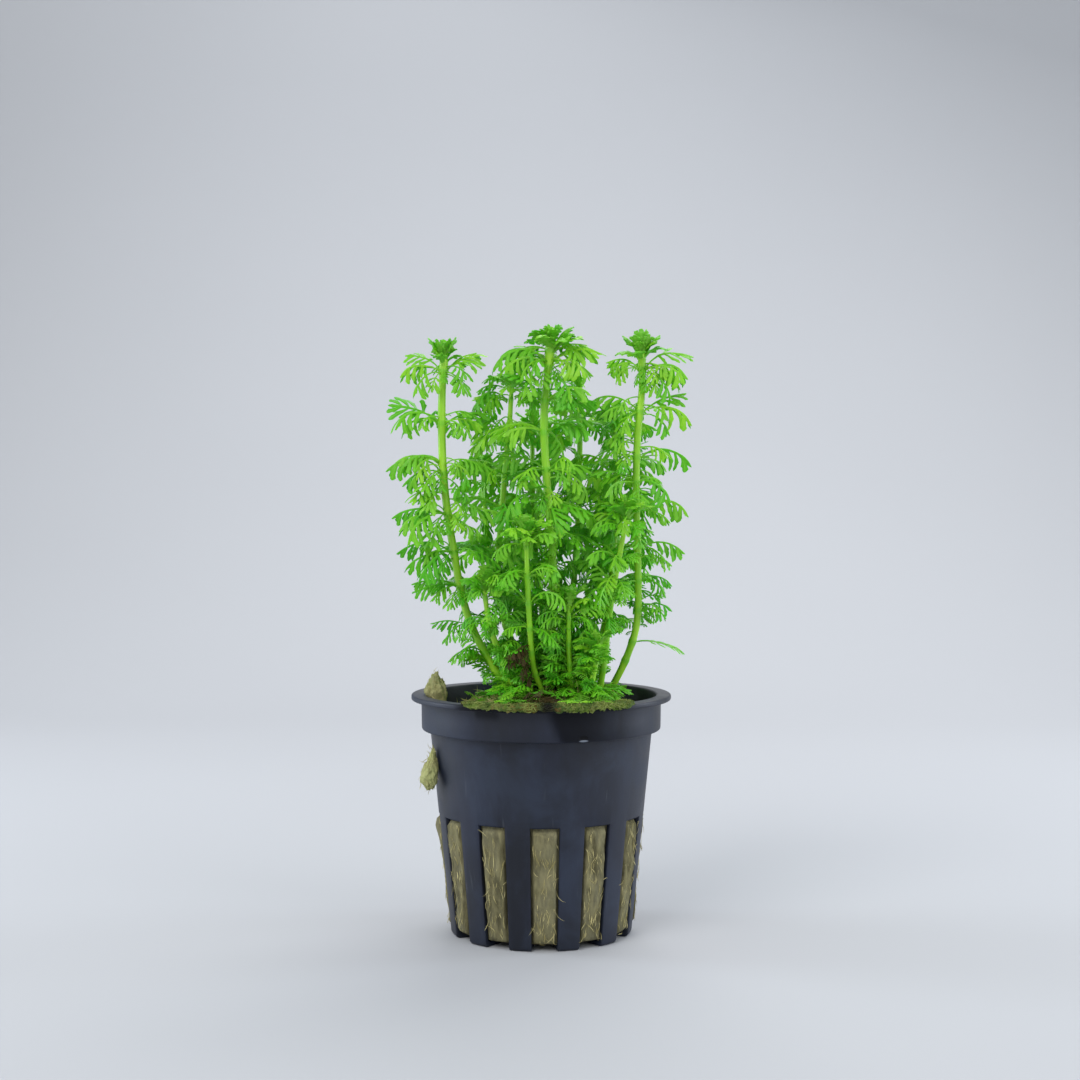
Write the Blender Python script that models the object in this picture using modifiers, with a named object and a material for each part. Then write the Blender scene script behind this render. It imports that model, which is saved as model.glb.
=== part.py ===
"""Potted stem plant for an aquarium: a slotted net pot filled with rockwool, in
which a bunch of upright stems is rooted, each with its own whorled leaves.

Units are metres, +Z is up, and the origin is the centre of the pot's underside.
-Y is the side that faces the viewer.

Pieces
    net_pot         turned plastic cup with a flange lip, a stepped collar and
                    twelve slots that run down the wall and on under the base
    rockwool        the plug that fills the pot, with ribs that swell into the
                    slots and a low mound on top, bored where the stems go in
    rockwool_tuft   loose tuft that stands up at the left of the rim
    rockwool_flake  flake that clings to the outside of the wall
    stem_*          one tube per shoot, rooted in the rockwool
    leaves_*        one closed body per shoot, out to the tips of its leaves,
                    bored for the stem; neighbours meet along a narrow gap
"""

import math

import bmesh
import bpy
import numpy as np
from mathutils import Matrix, Vector

MM = 0.001

# ---------------------------------------------------------------- dimensions
# Net pot, in mm
LIP_RADIUS = 27.5
POT_HEIGHT = 50.5
LIP_THICKNESS = 1.1
COLLAR_RADIUS = 25.4
COLLAR_BOTTOM = 43.1
BODY_TOP_RADIUS = 23.5
BASE_RADIUS = 19.2
BASE_EDGE_RADIUS = 18.6
WALL = 1.0
TURN_STEPS = 36

SLOTS = 12
SLOT_ANGLE = 16.0  # degrees, the bars between take the rest of each 30
SLOT_TURN = 2.0  # degrees, of the slot nearest the viewer towards +X
SLOT_TOP = 25.5
BASE_DISC_RADIUS = 11.0  # the plain middle of the base

# Rockwool, in mm
GAP = 0.3
WOOL_CROWN = 50.0
WOOL_RIB = 0.35  # how far a rib stands proud of the wall
BORE_RADIUS = 1.3
ROOT_Z = 45.2

# Shoots, in mm
STEM_RADIUS = 0.85
LOWEST_LEVEL = 52.5  # leaves start here
LEVEL_STEP = 7.0  # the height between two sections of a leaf body
SIDES = 10
STEM_BORE = 1.22
LEAF_GAP = 0.35  # from a leaf body to the plane it shares with its neighbour
LEAST_SHARE = 2.1  # the nearest that such a plane comes to a stem's axis
TIP_BELOW_TOP = 3.6  # the crown's young leaves stand this far above the stem
CROWN_RADIUS = 4.5

# name: (points the stem passes through, top of its crown, reach of its leaves,
#        number of the section where its leaves start)
SHOOTS = {
    "left_tall": (
        [(-6.6, -2.0, 51.5), (-10.2, -2.5, 56.4), (-15.2, -3.0, 66.4), (-18.7, -4.0, 82.8),
         (-20.4, -5.0, 96.4), (-20.7, -6.0, 111.8), (-19.9, -6.0, 125.5)],
        125.6, 12.4, 0,
    ),
    "middle_tall": (
        [(1.4, -3.0, 51.4), (2.3, -4.0, 64.1), (2.5, -5.0, 76.7), (1.2, -7.0, 94.7),
         (0.6, -8.0, 109.0), (1.5, -8.5, 119.0), (2.3, -9.0, 128.5)],
        128.5, 12.0, 0,
    ),
    "front": (
        [(0.4, -8.0, 51.6), (-1.3, -9.5, 55.7), (-2.3, -12.0, 65.1), (-2.9, -13.5, 77.7),
         (-3.1, -14.0, 89.5)],
        89.5, 10.5, 0,
    ),
    "right_tall": (
        [(14.8, 1.0, 51.1), (17.6, 0.5, 56.7), (20.1, -1.0, 64.6), (20.4, -2.0, 77.5),
         (19.9, -4.0, 93.1), (20.1, -5.0, 104.0), (21.1, -5.0, 116.1), (20.7, -5.0, 127.0)],
        127.0, 11.6, 0,
    ),
    "front_right": (
        [(6.4, -9.0, 51.7), (5.8, -10.0, 58.2), (5.7, -11.0, 66.5), (5.9, -11.5, 75.0)],
        75.0, 9.5, 0,
    ),
    "right_inner": (
        [(10.5, 6.0, 50.8), (14.0, 7.0, 63.5), (15.3, 7.0, 75.6), (16.1, 6.0, 95.1),
         (15.7, 5.0, 107.3), (15.0, 5.0, 114.0)],
        114.0, 11.5, 0,
    ),
    "left_inner": (
        [(-2.8, 4.5, 51.0), (-7.4, 5.0, 63.6), (-9.1, 5.0, 74.4), (-8.2, 3.0, 91.6),
         (-6.7, 2.0, 108.6), (-6.0, 2.0, 121.0)],
        121.0, 11.5, 0,
    ),
    "right_front": (
        [(12.3, -5.0, 51.4), (13.3, -6.0, 59.0), (14.6, -7.5, 70.5), (16.8, -9.0, 83.0),
         (19.0, -10.0, 93.8)],
        93.8, 10.5, 0,
    ),
    "back_right_tall": (
        [(4.1, 8.5, 50.6), (6.3, 10.5, 65.5), (8.1, 12.0, 87.4), (8.5, 12.0, 107.1),
         (8.5, 11.5, 122.5)],
        122.5, 11.5, 0,
    ),
    "back_left": (
        [(-2.5, 10.5, 50.2), (-8.0, 13.0, 65.4), (-11.8, 15.0, 83.0), (-12.7, 15.5, 103.0)],
        103.0, 11.5, 0,
    ),
    "back_tall": (
        [(1.8, 13.2, 49.8), (0.5, 15.5, 64.0), (-1.5, 17.0, 82.0), (-2.0, 17.5, 112.5)],
        112.5, 11.5, 0,
    ),
    "left_low": (
        [(-5.0, -7.2, 51.0), (-8.6, -8.0, 59.1), (-11.2, -9.0, 68.5), (-12.1, -9.5, 79.0)],
        79.0, 9.5, 0,
    ),
    "right_low": (
        [(9.6, -12.2, 50.6), (11.2, -13.2, 58.0), (12.4, -13.8, 66.5)],
        66.5, 7.5, 0,
    ),
    "back_right_low": (
        [(9.5, 13.2, 49.8), (13.5, 15.5, 62.0), (16.5, 17.0, 78.0), (17.2, 17.5, 92.0)],
        92.0, 10.5, 0,
    ),
}

# Colours: base colour, roughness
PLASTIC = ((0.035, 0.040, 0.050), 0.5)
WOOL = ((0.23, 0.21, 0.09), 0.95)
STEM_GREEN = ((0.25, 0.50, 0.04), 0.45)
LEAF_GREEN = ((0.06, 0.32, 0.02), 0.5)


# ------------------------------------------------------------------- helpers
def clear_scene():
    for ob in list(bpy.data.objects):
        bpy.data.objects.remove(ob, do_unlink=True)
    for coll in list(bpy.data.collections):
        bpy.data.collections.remove(coll)


def collection(name):
    coll = bpy.data.collections.new(name)
    bpy.context.scene.collection.children.link(coll)
    return coll


def material(name, colour, roughness):
    mat = bpy.data.materials.new(name)
    mat.use_nodes = True
    bsdf = mat.node_tree.nodes["Principled BSDF"]
    bsdf.inputs["Base Color"].default_value = (*colour, 1.0)
    bsdf.inputs["Roughness"].default_value = roughness
    bsdf.inputs["Metallic"].default_value = 0.0
    mat.diffuse_color = (*colour, 1.0)
    return mat


def add_object(name, data, coll, look=None):
    ob = bpy.data.objects.new(name, data)
    coll.objects.link(ob)
    if look is not None:
        data.materials.append(material(name, *look))
    return ob


def smooth(ob, angle=40.0):
    ob.data.shade_smooth()
    ob.data.set_sharp_from_angle(angle=math.radians(angle))


def turned(name, profile, steps, coll, look):
    """A profile of (radius, height) in mm, closed or from axis to axis, turned round Z."""
    me = bpy.data.meshes.new(name)
    points = [(r * MM, 0.0, z * MM) for r, z in profile]
    me.from_pydata(points, [(i, i + 1) for i in range(len(points) - 1)], [])
    ob = add_object(name, me, coll, look)
    screw = ob.modifiers.new("turn", "SCREW")
    screw.axis = "Z"
    screw.angle = 2 * math.pi
    screw.steps = screw.render_steps = steps
    screw.use_merge_vertices = True
    screw.merge_threshold = 1e-5
    screw.use_smooth_shade = True
    return ob


def baked(ob):
    """The object's mesh with its modifiers applied, so far."""
    depsgraph = bpy.context.evaluated_depsgraph_get()
    return bpy.data.meshes.new_from_object(ob.evaluated_get(depsgraph))


def boolean(ob, cutter, operation):
    mod = ob.modifiers.new(operation.lower(), "BOOLEAN")
    mod.operation = operation
    mod.object = cutter
    mod.solver = "EXACT"
    return mod


def as_cutter(ob):
    ob.hide_render = True
    ob.display_type = "WIRE"


def wedge(bm, angle, half_angle, r0, r1, z0, z1):
    """A box from radius r0 to r1 whose sides follow two radii. z0, z1 or r1 may be a pair, its values at the two ends of the radius or of the height."""
    made = bmesh.ops.create_cube(bm, size=2.0)["verts"]
    r1_low, r1_high = r1 if isinstance(r1, tuple) else (r1, r1)
    for v in made:
        outer, side, top = v.co.x > 0, v.co.y, v.co.z > 0
        r = (r1_high if top else r1_low) if outer else r0
        a = angle + side * half_angle
        # The flat sides stand on the chord, so the middle is a little nearer the axis
        v.co = Vector((r * math.sin(a), -r * math.cos(a), z1 if top else z0)) * MM


def wall_radius(z):
    """The outside of the pot's tapered wall at height z."""
    return BASE_RADIUS + (BODY_TOP_RADIUS - BASE_RADIUS) * z / COLLAR_BOTTOM


# ------------------------------------------------------------------- net pot
def build_pot(parts, cutters):
    top, lip_low = POT_HEIGHT, POT_HEIGHT - LIP_THICKNESS
    profile = [
        (LIP_RADIUS - 0.3, top),
        (LIP_RADIUS, top - 0.3),
        (LIP_RADIUS, lip_low),
        (COLLAR_RADIUS, lip_low),
        (COLLAR_RADIUS - 0.1, COLLAR_BOTTOM),
        (BODY_TOP_RADIUS, COLLAR_BOTTOM),
        (wall_radius(0.9), 0.9),
        (BASE_EDGE_RADIUS, 0.0),
        (0.0, 0.0),
        (0.0, WALL),
        (wall_radius(1.9) - WALL - 0.4, WALL),
        (wall_radius(1.9) - WALL, 1.9),
        (BODY_TOP_RADIUS - WALL, COLLAR_BOTTOM + WALL),
        (COLLAR_RADIUS - WALL - 0.1, COLLAR_BOTTOM + WALL),
        (COLLAR_RADIUS - WALL, top - 0.3),
        (COLLAR_RADIUS - WALL + 0.3, top),
        (LIP_RADIUS - 0.3, top),
    ]
    pot = turned("net_pot", profile, TURN_STEPS, parts, PLASTIC)

    bm = bmesh.new()
    half = math.radians(SLOT_ANGLE / 2)
    for i in range(SLOTS):
        angle = math.radians(SLOT_TURN + 360.0 / SLOTS * i)
        wedge(bm, angle, half, BASE_DISC_RADIUS, LIP_RADIUS, -1.0, SLOT_TOP)
    me = bpy.data.meshes.new("slots")
    bm.to_mesh(me)
    bm.free()
    slots = add_object("slots", me, cutters)
    as_cutter(slots)
    boolean(pot, slots, "DIFFERENCE")
    return pot


# ------------------------------------------------------------------ rockwool
def build_wool(parts, cutters, stems):
    inside = WALL + GAP
    profile = [
        (0.0, WOOL_CROWN),
        (9.0, WOOL_CROWN - 0.2),
        (15.0, WOOL_CROWN - 1.2),
        (18.6, WOOL_CROWN - 3.4),
        (21.2, WOOL_CROWN - 6.0),
        (wall_radius(COLLAR_BOTTOM) - inside, COLLAR_BOTTOM - 0.6),
        (wall_radius(2.4) - inside, 2.4),
        (wall_radius(2.4) - inside - 0.6, WALL + GAP),
        (0.0, WALL + GAP),
    ]
    wool = turned("rockwool", profile, TURN_STEPS, parts, WOOL)

    # Ribs that swell into the slots
    bm = bmesh.new()
    half = math.radians(SLOT_ANGLE / 2) - (GAP + 0.05) / BASE_RADIUS
    low, high = WALL + GAP + 0.3, SLOT_TOP - GAP - 0.1
    for i in range(SLOTS):
        angle = math.radians(SLOT_TURN + 360.0 / SLOTS * i)
        outer = (wall_radius(low) + WOOL_RIB, wall_radius(high) + WOOL_RIB)
        wedge(bm, angle, half, 12.0, outer, low, high)
    me = bpy.data.meshes.new("ribs")
    bm.to_mesh(me)
    bm.free()
    ribs = add_object("ribs", me, cutters)
    as_cutter(ribs)
    boolean(wool, ribs, "UNION")

    # Bores where the stems go in
    bm = bmesh.new()
    low = ROOT_Z - GAP
    for line in stems.values():
        x, y, _ = line[0]
        at = Matrix.Translation(Vector((x, y, (low + 56.0) / 2)) * MM)
        bmesh.ops.create_cone(bm, cap_ends=True, segments=8, radius1=BORE_RADIUS * MM,
                              radius2=BORE_RADIUS * MM, depth=(56.0 - low) * MM, matrix=at)
    me = bpy.data.meshes.new("bores")
    bm.to_mesh(me)
    bm.free()
    bores = add_object("bores", me, cutters)
    as_cutter(bores)
    boolean(wool, bores, "DIFFERENCE")
    return wool


def lump(name, centre, radii, turn, parts, seed):
    """A rough lump: a sphere drawn out to three radii, turned round Z, with an uneven surface."""
    bm = bmesh.new()
    bmesh.ops.create_icosphere(bm, subdivisions=2, radius=1.0)
    rng = np.random.default_rng(seed)
    for v in bm.verts:
        v.co *= 1.0 - 0.16 * float(rng.random())
    shape = Matrix.Rotation(math.radians(turn), 4, "Z") @ Matrix.Diagonal((*radii, 1.0))
    for v in bm.verts:
        v.co = (shape @ v.co + Vector(centre)) * MM
    me = bpy.data.meshes.new(name)
    bm.to_mesh(me)
    bm.free()
    ob = add_object(name, me, parts, WOOL)
    smooth(ob, 60)
    return ob


# -------------------------------------------------------------------- shoots
def through(points, z):
    """Where a smooth line through the points, as a function of height, is at height z."""
    p = np.array(points, float)
    h = p[:, 2]
    slope = np.empty((len(p), 2))
    run = np.diff(p[:, :2], axis=0) / np.diff(h)[:, None]
    slope[0], slope[-1] = run[0], run[-1]
    slope[1:-1] = (run[:-1] + run[1:]) / 2
    i = int(np.clip(np.searchsorted(h, z) - 1, 0, len(p) - 2))
    d = h[i + 1] - h[i]
    t = min(max((z - h[i]) / d, 0.0), 1.0)
    a, b = p[i, :2], p[i + 1, :2]
    at = ((2 * t**3 - 3 * t**2 + 1) * a + (t**3 - 2 * t**2 + t) * d * slope[i]
          + (3 * t**2 - 2 * t**3) * b + (t**3 - t**2) * d * slope[i + 1])
    return float(at[0]), float(at[1])


def level(k):
    return LOWEST_LEVEL + LEVEL_STEP * k


def stem_line(points, top):
    """The stem's points, from its root straight up to the rockwool's surface, then at each section's height, and at its tip."""
    tip = top - TIP_BELOW_TOP
    x, y, z = points[0]
    line = [(x, y, ROOT_Z), (x, y, min(z, LOWEST_LEVEL - 1.0))]
    k = 0
    while level(k) < tip - 1.0:
        line.append((*through(points, level(k)), level(k)))
        k += 1
    # Past the last section the stem runs straight on to where the next one would be
    here, ahead = line[-1], through(points, min(level(k), points[-1][2]))
    rest = (min(level(k), points[-1][2])) - here[2]
    share = (tip - here[2]) / rest
    line.append(tuple(h + (a - h) * share for h, a in zip(here[:2], ahead)) + (tip,))
    return line


def centre_at(line, z):
    """The stem's axis at height z, along its straight pieces."""
    for a, b in zip(line[1:], line[2:]):
        if z <= b[2] or b is line[-1]:
            t = (z - a[2]) / (b[2] - a[2])
            return np.array([a[0] + (b[0] - a[0]) * t, a[1] + (b[1] - a[1]) * t])
    return np.array(line[-1][:2])


def reach(shoot, z):
    """How far the leaves reach from the stem at height z: short at the foot, full in the middle, drawn in at the crown."""
    _, top, full, _ = SHOOTS[shoot]
    foot = np.interp(z, [50.0, 56.0, 66.0, 80.0], [0.38, 0.62, 0.86, 1.0])
    crown = np.interp(top - z, [0.0, 2.0, 4.0, 8.0, 13.0], [0.18, 0.34, 0.66, 0.9, 1.0])
    return float(full * min(foot, crown))


def sections(lines):
    """For each shoot, the widest section it may have at each level: the plane between two shoots is theirs by the power of their reaches."""
    found = {}
    angles = 2 * math.pi * np.arange(SIDES) / SIDES
    ways = np.stack([np.cos(angles), np.sin(angles)], 1)
    for name, (_, top, _, first) in SHOOTS.items():
        last = first
        while level(last) < top:
            last += 1
        for k in range(first, last + 1):
            z = level(k)
            own = centre_at(lines[name], z)
            mine = max(reach(name, z), CROWN_RADIUS)
            r = np.full(SIDES, mine)
            for other, (_, other_top, _, other_first) in SHOOTS.items():
                if other == name:
                    continue
                leafy = level(other_first) <= z and z - LEVEL_STEP < other_top
                if not leafy and z > lines[other][-1][2] + 1.0:
                    continue
                apart = centre_at(lines[other], z) - own
                d = float(np.linalg.norm(apart))
                if leafy:
                    theirs = max(reach(other, z), CROWN_RADIUS)
                    share = (d * d + mine**2 - theirs**2) / (2 * d)
                    share = min(max(share, LEAST_SHARE), d - LEAST_SHARE) - LEAF_GAP
                else:
                    share = d - STEM_RADIUS - 2 * LEAF_GAP
                facing = ways @ apart / d
                near = facing > 1e-6
                r[near] = np.minimum(r[near], share / facing[near])
            found[name, k] = r
    return found


def build_leaves(name, line, bounds, parts):
    """A loft of star-shaped sections round the stem, closed at the crown, with a bore for the stem that is open at the foot."""
    _, top, _, first = SHOOTS[name]
    angles = 2 * math.pi * np.arange(SIDES) / SIDES
    ways = np.stack([np.cos(angles), np.sin(angles)], 1)
    heights = [level(k) for k in range(first, first + 40) if level(k) < top - 2.6]
    heights += [top - 2.0, top]
    bm = bmesh.new()

    def ring(z, radii):
        c = centre_at(line, z)
        return [bm.verts.new(Vector((c[0] + r * w[0], c[1] + r * w[1], z)) * MM)
                for r, w in zip(radii, ways)]

    def join(low, high, outward=True):
        for i in range(SIDES):
            j = (i + 1) % SIDES
            quad = (low[i], low[j], high[j], high[i])
            bm.faces.new(quad if outward else tuple(reversed(quad)))

    outer = []
    for z in heights:
        place = (z - LOWEST_LEVEL) / LEVEL_STEP
        k = int(math.floor(place + 1e-6))
        t = max(place - k, 0.0)
        widest = bounds[name, k] if t < 1e-6 else (1 - t) * bounds[name, k] + t * bounds[name, k + 1]
        outer.append(ring(z, np.minimum(widest, reach(name, z))))
    bore_end = line[-1][2] + GAP
    bore_heights = [z for z in heights if z < bore_end - 0.8] + [bore_end]
    inner = [ring(z, [STEM_BORE] * SIDES) for z in bore_heights]

    for low, high in zip(outer, outer[1:]):
        join(low, high)
    for low, high in zip(inner, inner[1:]):
        join(low, high, outward=False)
    join(inner[0], outer[0])
    bm.faces.new(outer[-1])
    bm.faces.new(list(reversed(inner[-1])))
    bmesh.ops.triangulate(bm, faces=bm.faces[:])
    me = bpy.data.meshes.new("leaves_" + name)
    bm.to_mesh(me)
    bm.free()
    ob = add_object("leaves_" + name, me, parts, LEAF_GREEN)
    smooth(ob, 60)
    return ob


def build_stem(name, line, parts):
    curve = bpy.data.curves.new("stem_" + name, "CURVE")
    curve.dimensions = "3D"
    curve.bevel_depth = STEM_RADIUS * MM
    curve.bevel_resolution = 2
    curve.use_fill_caps = True
    spline = curve.splines.new("POLY")
    spline.points.add(len(line) - 1)
    for point, (x, y, z) in zip(spline.points, line):
        point.co = (x * MM, y * MM, z * MM, 1.0)
    return add_object("stem_" + name, curve, parts, STEM_GREEN)


# ---------------------------------------------------------------------- main
def main():
    clear_scene()
    parts = collection("potted_aquarium_plant")
    cutters = collection("cutters")

    lines = {name: stem_line(points, top) for name, (points, top, _, _) in SHOOTS.items()}
    build_pot(parts, cutters)
    build_wool(parts, cutters, lines)
    lump("rockwool_tuft", (-21.75, -3.7, 49.9), (2.15, 2.9, 5.2), 10.0, parts, 3)
    lump("rockwool_flake", (-23.45, -8.3, 35.6), (1.75, 2.9, 4.6), 19.5, parts, 8)
    bounds = sections(lines)
    for name, line in lines.items():
        build_stem(name, line, parts)
        build_leaves(name, line, bounds, parts)


main()
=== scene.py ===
"""Looks of a potted stem plant for an aquarium: a slotted net pot filled with
rockwool, and a bunch of upright stems with whorls of finely cut leaves.

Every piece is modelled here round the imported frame, in its axes: +Z up, -Y
towards the viewer. Lengths are in millimetres until a mesh is made.
"""

import math

import bmesh
import bpy
import numpy as np
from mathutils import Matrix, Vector


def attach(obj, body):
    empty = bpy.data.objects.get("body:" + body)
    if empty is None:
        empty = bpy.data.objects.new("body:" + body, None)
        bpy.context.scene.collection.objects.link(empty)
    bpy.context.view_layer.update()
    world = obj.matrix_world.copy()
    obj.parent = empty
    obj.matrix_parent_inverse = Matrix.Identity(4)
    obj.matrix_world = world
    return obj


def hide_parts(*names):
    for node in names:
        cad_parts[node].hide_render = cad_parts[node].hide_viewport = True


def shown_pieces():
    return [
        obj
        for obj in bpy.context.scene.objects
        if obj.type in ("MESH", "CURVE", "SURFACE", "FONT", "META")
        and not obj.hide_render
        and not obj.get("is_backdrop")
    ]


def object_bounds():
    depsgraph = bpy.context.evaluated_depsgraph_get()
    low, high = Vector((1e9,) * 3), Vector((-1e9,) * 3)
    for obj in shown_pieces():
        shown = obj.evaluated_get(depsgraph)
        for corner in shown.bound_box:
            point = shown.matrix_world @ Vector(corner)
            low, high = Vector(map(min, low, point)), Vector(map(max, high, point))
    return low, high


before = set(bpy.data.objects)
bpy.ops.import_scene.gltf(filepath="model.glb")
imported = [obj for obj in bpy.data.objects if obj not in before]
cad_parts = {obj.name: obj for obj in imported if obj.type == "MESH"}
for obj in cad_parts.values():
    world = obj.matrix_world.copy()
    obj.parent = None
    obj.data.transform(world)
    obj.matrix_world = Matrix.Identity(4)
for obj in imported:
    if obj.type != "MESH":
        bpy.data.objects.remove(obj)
cad_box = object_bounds()

MM = 0.001

# ------------------------------------------------------------- dimensions, mm
LIP_RADIUS = 27.5
POT_HEIGHT = 50.5
LIP_THICKNESS = 1.1
COLLAR_RADIUS = 25.4
COLLAR_BOTTOM = 43.1
BODY_TOP_RADIUS = 23.5
BASE_RADIUS = 19.2
WALL = 1.0
SLOTS = 12
SLOT_HALF = 8.0  # degrees
SLOT_TURN = 2.0
SLOT_TOP = 25.5
BASE_DISC_RADIUS = 11.0

ROOT_Z = 45.2
STEM_RADIUS = 0.85
TIP_BELOW_TOP = 3.6
STEM_WIDTH = {"left_tall": 0.92, "middle_tall": 0.94, "right_tall": 0.9, "front": 0.76, "front_right": 0.7}
LEAVES_START = 52.5

# name: (points the stem passes through, top of its crown, reach of its leaves)
SHOOTS = {
    "left_tall": (
        [(-6.6, -2.0, 51.5), (-10.2, -2.5, 56.4), (-15.2, -3.0, 66.4), (-18.7, -4.0, 82.8),
         (-20.4, -5.0, 96.4), (-20.7, -6.0, 111.8), (-19.9, -6.0, 125.5)], 125.6, 12.4),
    "middle_tall": (
        [(1.4, -3.0, 51.4), (2.3, -4.0, 64.1), (2.5, -5.0, 76.7), (1.2, -7.0, 94.7),
         (0.6, -8.0, 109.0), (1.5, -8.5, 119.0), (2.3, -9.0, 128.5)], 128.5, 12.0),
    "front": (
        [(0.4, -8.0, 51.6), (-1.3, -9.5, 55.7), (-2.3, -12.0, 65.1), (-2.9, -13.5, 77.7),
         (-3.1, -14.0, 89.5)], 89.5, 10.5),
    "right_tall": (
        [(14.8, 1.0, 51.1), (17.6, 0.5, 56.7), (20.1, -1.0, 64.6), (20.4, -2.0, 77.5),
         (19.9, -4.0, 93.1), (20.1, -5.0, 104.0), (21.1, -5.0, 116.1), (20.7, -5.0, 127.0)],
        127.0, 11.6),
    "front_right": (
        [(6.4, -9.0, 51.7), (5.8, -10.0, 58.2), (5.7, -11.0, 66.5), (5.9, -11.5, 75.0)],
        75.0, 9.5),
    "right_inner": (
        [(10.5, 6.0, 50.8), (14.0, 7.0, 63.5), (15.3, 7.0, 75.6), (16.1, 6.0, 95.1),
         (15.7, 5.0, 107.3), (15.0, 5.0, 114.0)], 114.0, 11.5),
    "left_inner": (
        [(-2.8, 4.5, 51.0), (-7.4, 5.0, 63.6), (-9.1, 5.0, 74.4), (-8.2, 3.0, 91.6),
         (-6.7, 2.0, 108.6), (-6.0, 2.0, 121.0)], 121.0, 11.5),
    "right_front": (
        [(12.3, -5.0, 51.4), (13.3, -6.0, 59.0), (14.6, -7.5, 70.5), (16.8, -9.0, 83.0),
         (19.0, -10.0, 93.8)], 93.8, 10.5),
    "back_right_tall": (
        [(4.1, 8.5, 50.6), (6.3, 10.5, 65.5), (8.1, 12.0, 87.4), (8.5, 12.0, 107.1),
         (8.5, 11.5, 122.5)], 122.5, 11.5),
    "back_left": (
        [(-2.5, 10.5, 50.2), (-8.0, 13.0, 65.4), (-11.8, 15.0, 83.0), (-12.7, 15.5, 103.0)],
        103.0, 11.5),
    "back_tall": (
        [(1.8, 13.2, 49.8), (0.5, 15.5, 64.0), (-1.5, 17.0, 82.0), (-2.0, 17.5, 112.5)],
        112.5, 11.5),
    "left_low": (
        [(-5.0, -7.2, 51.0), (-8.6, -8.0, 59.1), (-11.2, -9.0, 68.5), (-12.1, -9.5, 79.0)],
        79.0, 9.5),
    "right_low": (
        [(9.6, -12.2, 50.6), (11.2, -13.2, 58.0), (12.4, -13.8, 66.5)], 66.5, 7.5),
    "back_right_low": (
        [(9.5, 13.2, 49.8), (13.5, 15.5, 62.0), (16.5, 17.0, 78.0), (17.2, 17.5, 92.0)],
        92.0, 10.5),
}

# Heights of the whorls that the photograph shows on the tall front shoots, from
# the top down; the rest are spaced by whorls_of
SEEN_WHORLS = {
    "left_tall": [118.3, 107.6, 97.2, 88.6, 80.6, 73.4, 65.6, 59.4],
    "middle_tall": [122.5, 119.2, 112.2, 105.6],
    "right_tall": [119.0, 110.0, 100.6, 95.4, 89.7, 81.7, 74.6, 68.4, 61.6],
}

# The photograph's outline of all leaves: height, furthest left, furthest right, as seen at the pot's axis
OUTLINE = np.array([
    (130.0, -26.0, 29.0), (124.0, -29.0, 32.0), (117.0, -30.5, 31.5), (113.0, -33.0, 32.0), (106.5, -32.8, 31.5),
    (104.0, -31.0, 27.0), (102.0, -28.5, 27.0), (99.5, -31.0, 30.0), (96.5, -33.0, 31.5), (94.0, -33.0, 31.5),
    (92.0, -30.0, 28.0), (88.0, -32.0, 30.5), (84.0, -30.5, 30.5), (80.0, -30.0, 30.0), (77.5, -30.5, 27.5),
    (75.0, -28.0, 27.5), (71.5, -27.5, 26.5), (69.5, -25.5, 27.5), (68.0, -21.5, 27.0), (66.0, -22.0, 26.0),
    (64.0, -23.0, 21.5), (62.5, -20.0, 17.5), (61.2, -19.5, 15.4), (60.2, -19.3, 17.0),
    (58.9, -19.1, 14.2), (57.6, -19.0, 15.8), (56.4, -16.2, 13.6), (55.3, -13.6, 15.6), (54.4, -14.2, 13.8),
    (53.6, -12.5, 17.0), (52.6, -12.5, 19.5), (40.0, -12.5, 19.5)])
# The highest that the inner and back shoots come, from left to right
SKYLINE = np.array([(-40.0, 113.5), (-14.5, 113.5), (-12.5, 117.5), (-8.0, 121.0), (8.0, 121.0), (10.5, 113.5), (19.0, 113.0),
                    (21.0, 110.0), (40.0, 108.0)])
# Openings between the shoots, where the background shows: place and half of the width and height, as seen at the
# pot's axis
OPENINGS = np.array([
    (-15.4, 84.8, 1.4, 0.8), (-14.8, 76.3, 1.1, 0.8), (-13.1, 69.2, 1.4, 1.4), (-19.6, 67.3, 2.2, 1.5), (-17.2, 103.0, 1.6, 1.3),
    (-18.2, 94.7, 0.6, 1.2), (-13.3, 96.0, 0.7, 0.7), (10.3, 102.6, 1.3, 1.1), (17.8, 83.6, 0.8, 0.5), (17.5, 67.7, 1.5, 0.8),
    (16.0, 60.4, 1.1, 1.8), (13.6, 53.3, 1.2, 0.8), (-6.2, 112.0, 0.7, 0.7), (-13.9, 64.2, 0.5, 0.5), (-9.7, 62.0, 0.6, 0.6),
    (-8.4, 64.7, 0.5, 0.5), (-5.5, 62.3, 0.45, 0.45), (12.8, 64.2, 0.5, 0.8), (8.6, 71.2, 0.3, 0.4), (4.1, 77.4, 0.5, 0.35),
    (17.3, 75.4, 0.7, 0.7)])
# Heights between which no leaf hangs in front of a stem
STEMS_FREE = {"front": (51.8, 81.5), "front_right": (56.5, 71.0), "right_front": (53.6, 57.5), "left_tall": (55.0, 62.0),
              "middle_tall": (98.0, 117.0), "right_tall": (53.0, 66.0)}

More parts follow.
